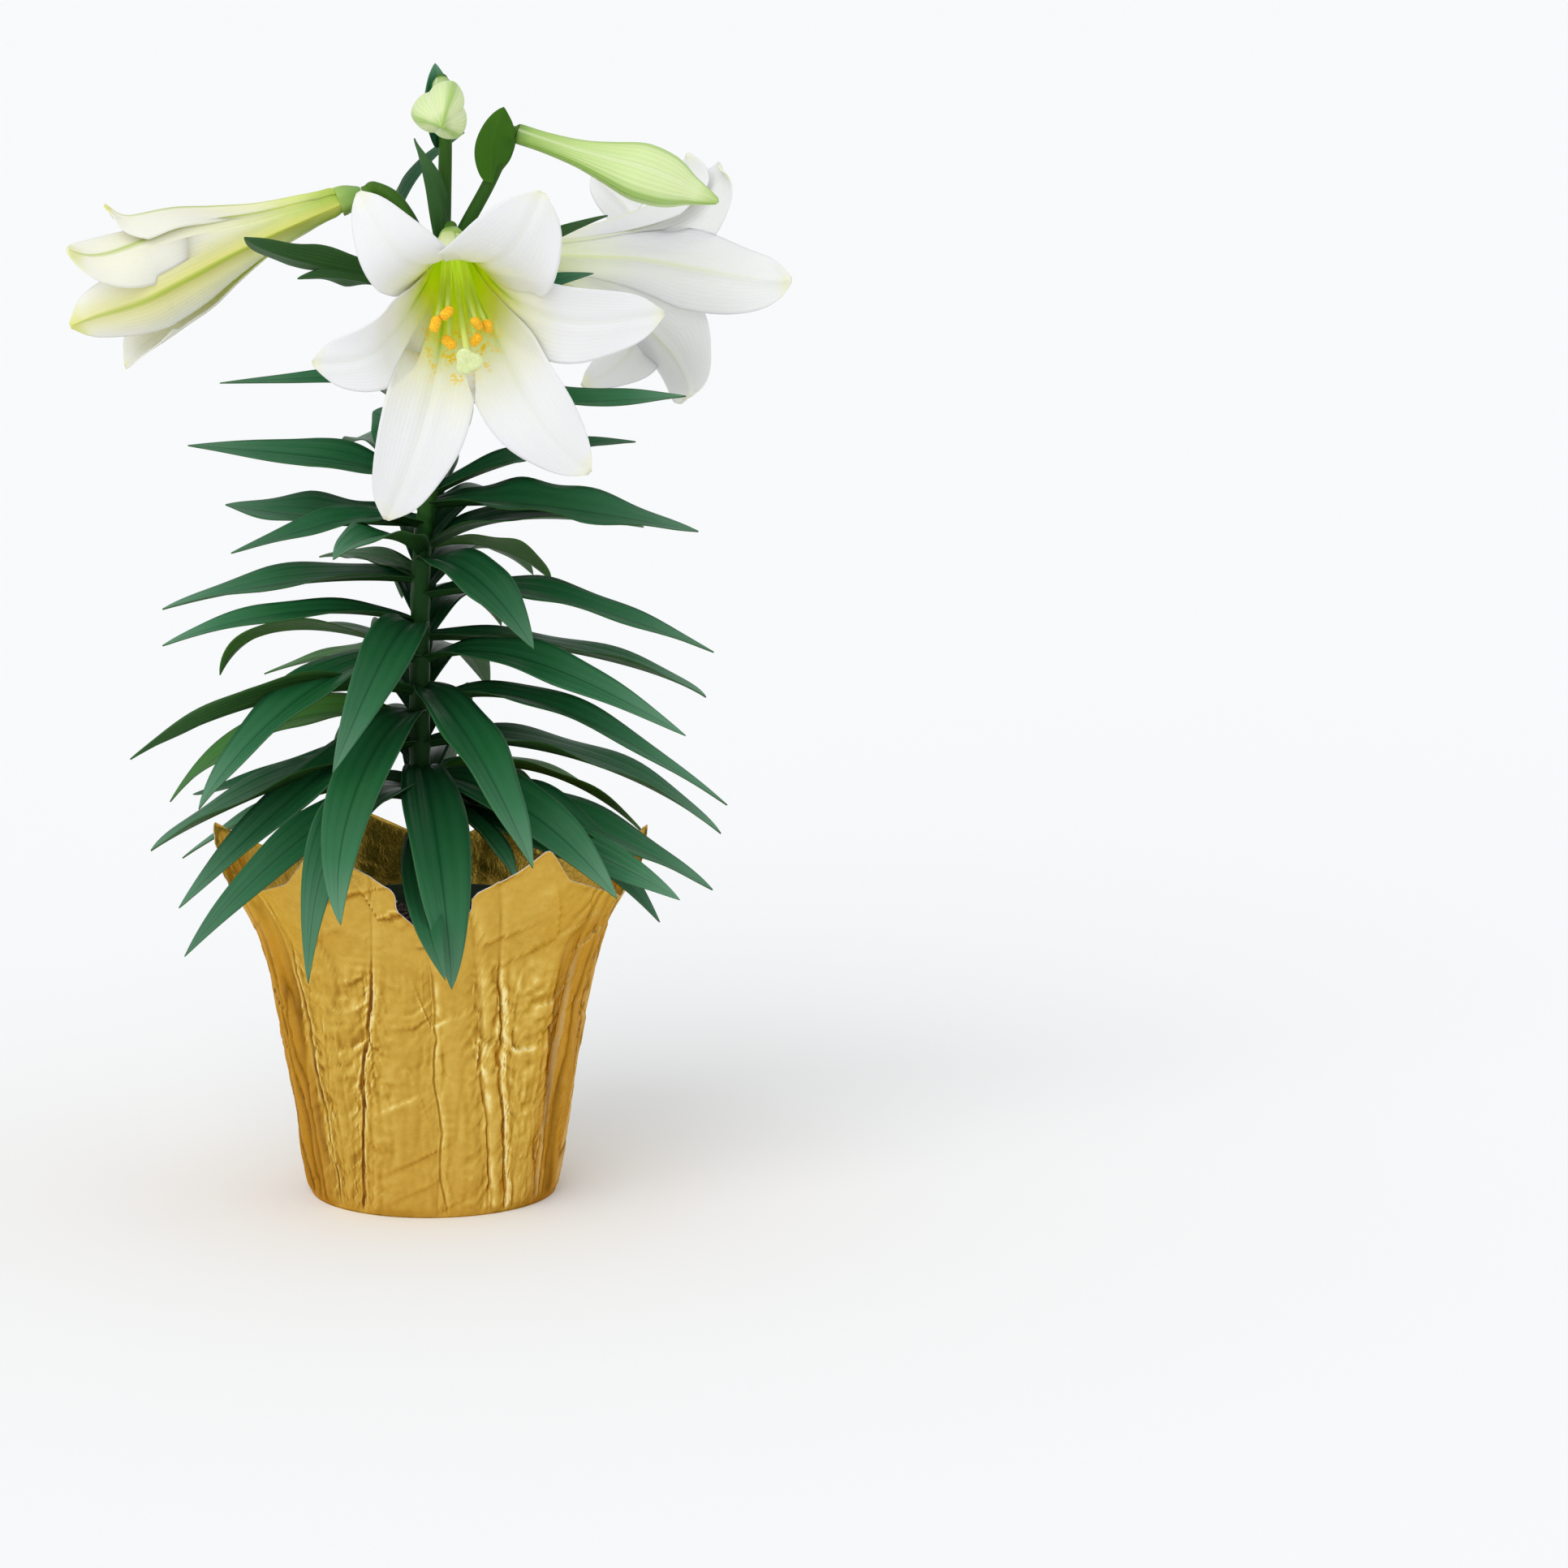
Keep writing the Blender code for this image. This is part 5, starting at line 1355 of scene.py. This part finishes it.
def build_stamens(name, node_name, flower, places, length):
    """Six stamens and the pistil of one flower as one piece."""
    base, right, up, axis = flower
    foot = FOOT_LENGTH + CLEARANCE

    def point(forward, sideways=0.0, rise=0.0):
        return base + axis * forward + right * sideways + up * rise

    parts = [(0, tube([point(foot), point(foot + 1.2), point(foot + 2.5)], [4.2, 4.0, 3.2], 24))]
    thinning = [FILAMENT_RADIUS * 1.1, FILAMENT_RADIUS * 0.85, 0.5]
    for number, (angle, spread) in enumerate(places):
        way = np.array([math.cos(math.radians(angle)), math.sin(math.radians(angle))])
        reach = length - 3 * (number % 2)
        stops = [(foot + 1.0, 2.6), (foot + 0.35 * reach, 0.36 * spread + 1.2),
                 (foot + 0.75 * reach, 0.66 * spread + 0.8), (foot + reach, spread)]
        knots = [point(forward, *(way * out)) for forward, out in stops]
        radii = np.interp(np.linspace(0, 1, FILAMENT_POINTS), [0, 0.8, 1], thinning)
        parts.append((0, tube(curve_through(knots, FILAMENT_POINTS), radii, FILAMENT_SIDES)))
        lay = unit(np.cross(axis, point(0, *way) - base) + 0.5 * axis)
        parts.append((1, spindle(knots[-1], lay * ANTHER_LENGTH, ANTHER_SHAPE, ANTHER_POINTS,
                                 ANTHER_SIDES, anther_lumps)))
    reach = length + STYLE_SURPLUS
    head = point(foot + reach, *STYLE_BEND)
    style = curve_through([point(foot + 1.0), point(foot + 0.5 * reach, 1, -1), head], STYLE_POINTS)
    parts.append((0, tube(style, [STYLE_RADIUS] * STYLE_POINTS, STYLE_SIDES)))
    angles = round_angles(STIGMA_SIDES)
    lobes = 1 + 0.13 * np.cos(3 * angles) - 0.08 * hump(np.abs(np.sin(1.5 * angles)) - 1, 0.2)
    rings = [head + axis * forward + spokes(size * lobes, angles, right, up)
             for forward, size in STIGMA_SHAPE]
    ends = [head + axis * (STIGMA_SHAPE[end][0] - inset) for end, inset in ((0, 0.3), (-1, 0.4))]
    points, faces = closed_rings(rings, *ends)
    parts.append((2, (points, faces, np.ones(len(points)))))
    finish_of = [finish for finish, part in parts for _ in part[1]]
    points, faces, along = join_parts([part for _, part in parts])
    make_piece(name, points, faces, STAMEN_FINISHES, [node_name], {"along": along}, finish_of)


build_stamens("front_stamens_and_pistil", "front_stamens", FRONT_BLOOM, FRONT_STAMENS, OPEN_REACH)
build_stamens("right_stamens_and_pistil", "right_stamens", RIGHT_BLOOM, EVEN_STAMENS, OPEN_REACH)
build_stamens("left_stamens_and_pistil", "left_stamens", LEFT_BLOOM, EVEN_STAMENS, OPENING_REACH)


# Buds
# Two closed trumpets, pale green with whiter tips. Three ribbed outer tepals meet in grooves
# along each, and the top one points at the viewer.

BUD_OUTLINE = [             # (share of the length, share of the greatest radius)
    (0.0, 0.36), (0.14, 0.37), (0.31, 0.49), (0.46, 0.74), (0.58, 0.97), (0.66, 1.0), (0.75, 0.91),
    (0.81, 0.75), (0.86, 0.55), (0.92, 0.37), (1.0, 0.13),
]
BUD_RIDGE = 0.12            # height of the ribs, of their keels and of the grooves between them
BUD_KEEL = 0.035
BUD_GROOVE = 0.07
BUD_SIDES = 96
BUD_RINGS = 90


def bud_finish():
    """Pale green bud: greener foot and ribs, whiter belly, fine lengthwise veins."""
    paint = Paint("bud_skin")
    around = paint.reading("across")
    belly = paint.ramp(
        paint.reading("along"), (0.0, (0.14, 0.30, 0.04)), (0.07, (0.34, 0.52, 0.12)),
        (0.30, (0.52, 0.68, 0.24)), (0.62, (0.66, 0.79, 0.38)), (0.90, (0.72, 0.82, 0.44)),
        (1.0, (0.40, 0.58, 0.14)))
    ribs = abs((around * 1.5).math("COSINE")) ** 22.0
    ribbed = paint.mix(ribs * 0.75, belly, (0.25, 0.46, 0.05))
    seams = abs(around.sine(1.5)) ** 40.0
    seamed = paint.mix(seams * 0.5, ribbed, (0.78, 0.84, 0.56))
    lines = around.sine(36.0)
    veined = paint.mix(lines.math("MAXIMUM", 0.0) * 0.22, seamed, (0.46, 0.66, 0.14))
    paint.bump(lines, 0.25, 0.0006)
    paint.bump(paint.grain(900.0), 0.12, 0.0004)
    return paint.coat({"Base Color": veined, "Roughness": 0.45, "Subsurface Weight": 0.25,
                       "Subsurface Radius": (0.003, 0.004, 0.0015)})


def build_bud(name, node_name, flower, length, radius, roll):
    """A closed bud, thin at its stalk and thickest near its blunt tip; roll turns its ribs."""
    base, right, up, axis = flower
    smooth = curve_through(BUD_OUTLINE, 200)
    shares = 1 - (1 - np.linspace(0, 1, BUD_RINGS)) ** 1.3
    angles = round_angles(BUD_SIDES)
    turn = angles - math.radians(roll)
    relief = BUD_RIDGE * np.cos(3 * turn) + BUD_KEEL * np.abs(np.cos(1.5 * turn)) ** 24
    relief = relief - BUD_GROOVE * np.abs(np.sin(1.5 * turn)) ** 30
    rings = []
    for share in shares:
        size = np.interp(share, smooth[:, 0], smooth[:, 1])
        out = radius * size * (1 + relief * min(1.0, 2 * share))
        rings.append(base + axis * length * share + spokes(out, angles, right, up))
    points, faces = closed_rings(rings, base, base + axis * (length + 1.0))
    along = np.append(np.repeat(shares, BUD_SIDES), (0.0, 1.0))
    folded = np.abs((turn + math.pi) % (2 * math.pi) - math.pi)
    around = np.append(np.tile(folded, BUD_RINGS), (0.0, 0.0))
    make_piece(name, points, faces, [BUD_SKIN], [node_name], {"along": along, "across": around})


BUD_SKIN = bud_finish()
build_bud("right_flower_bud", "right_bud", RIGHT_BUD, 93, 12.6, 90)
build_bud("top_flower_bud", "top_bud", TOP_BUD, 78, 11.6, 67)
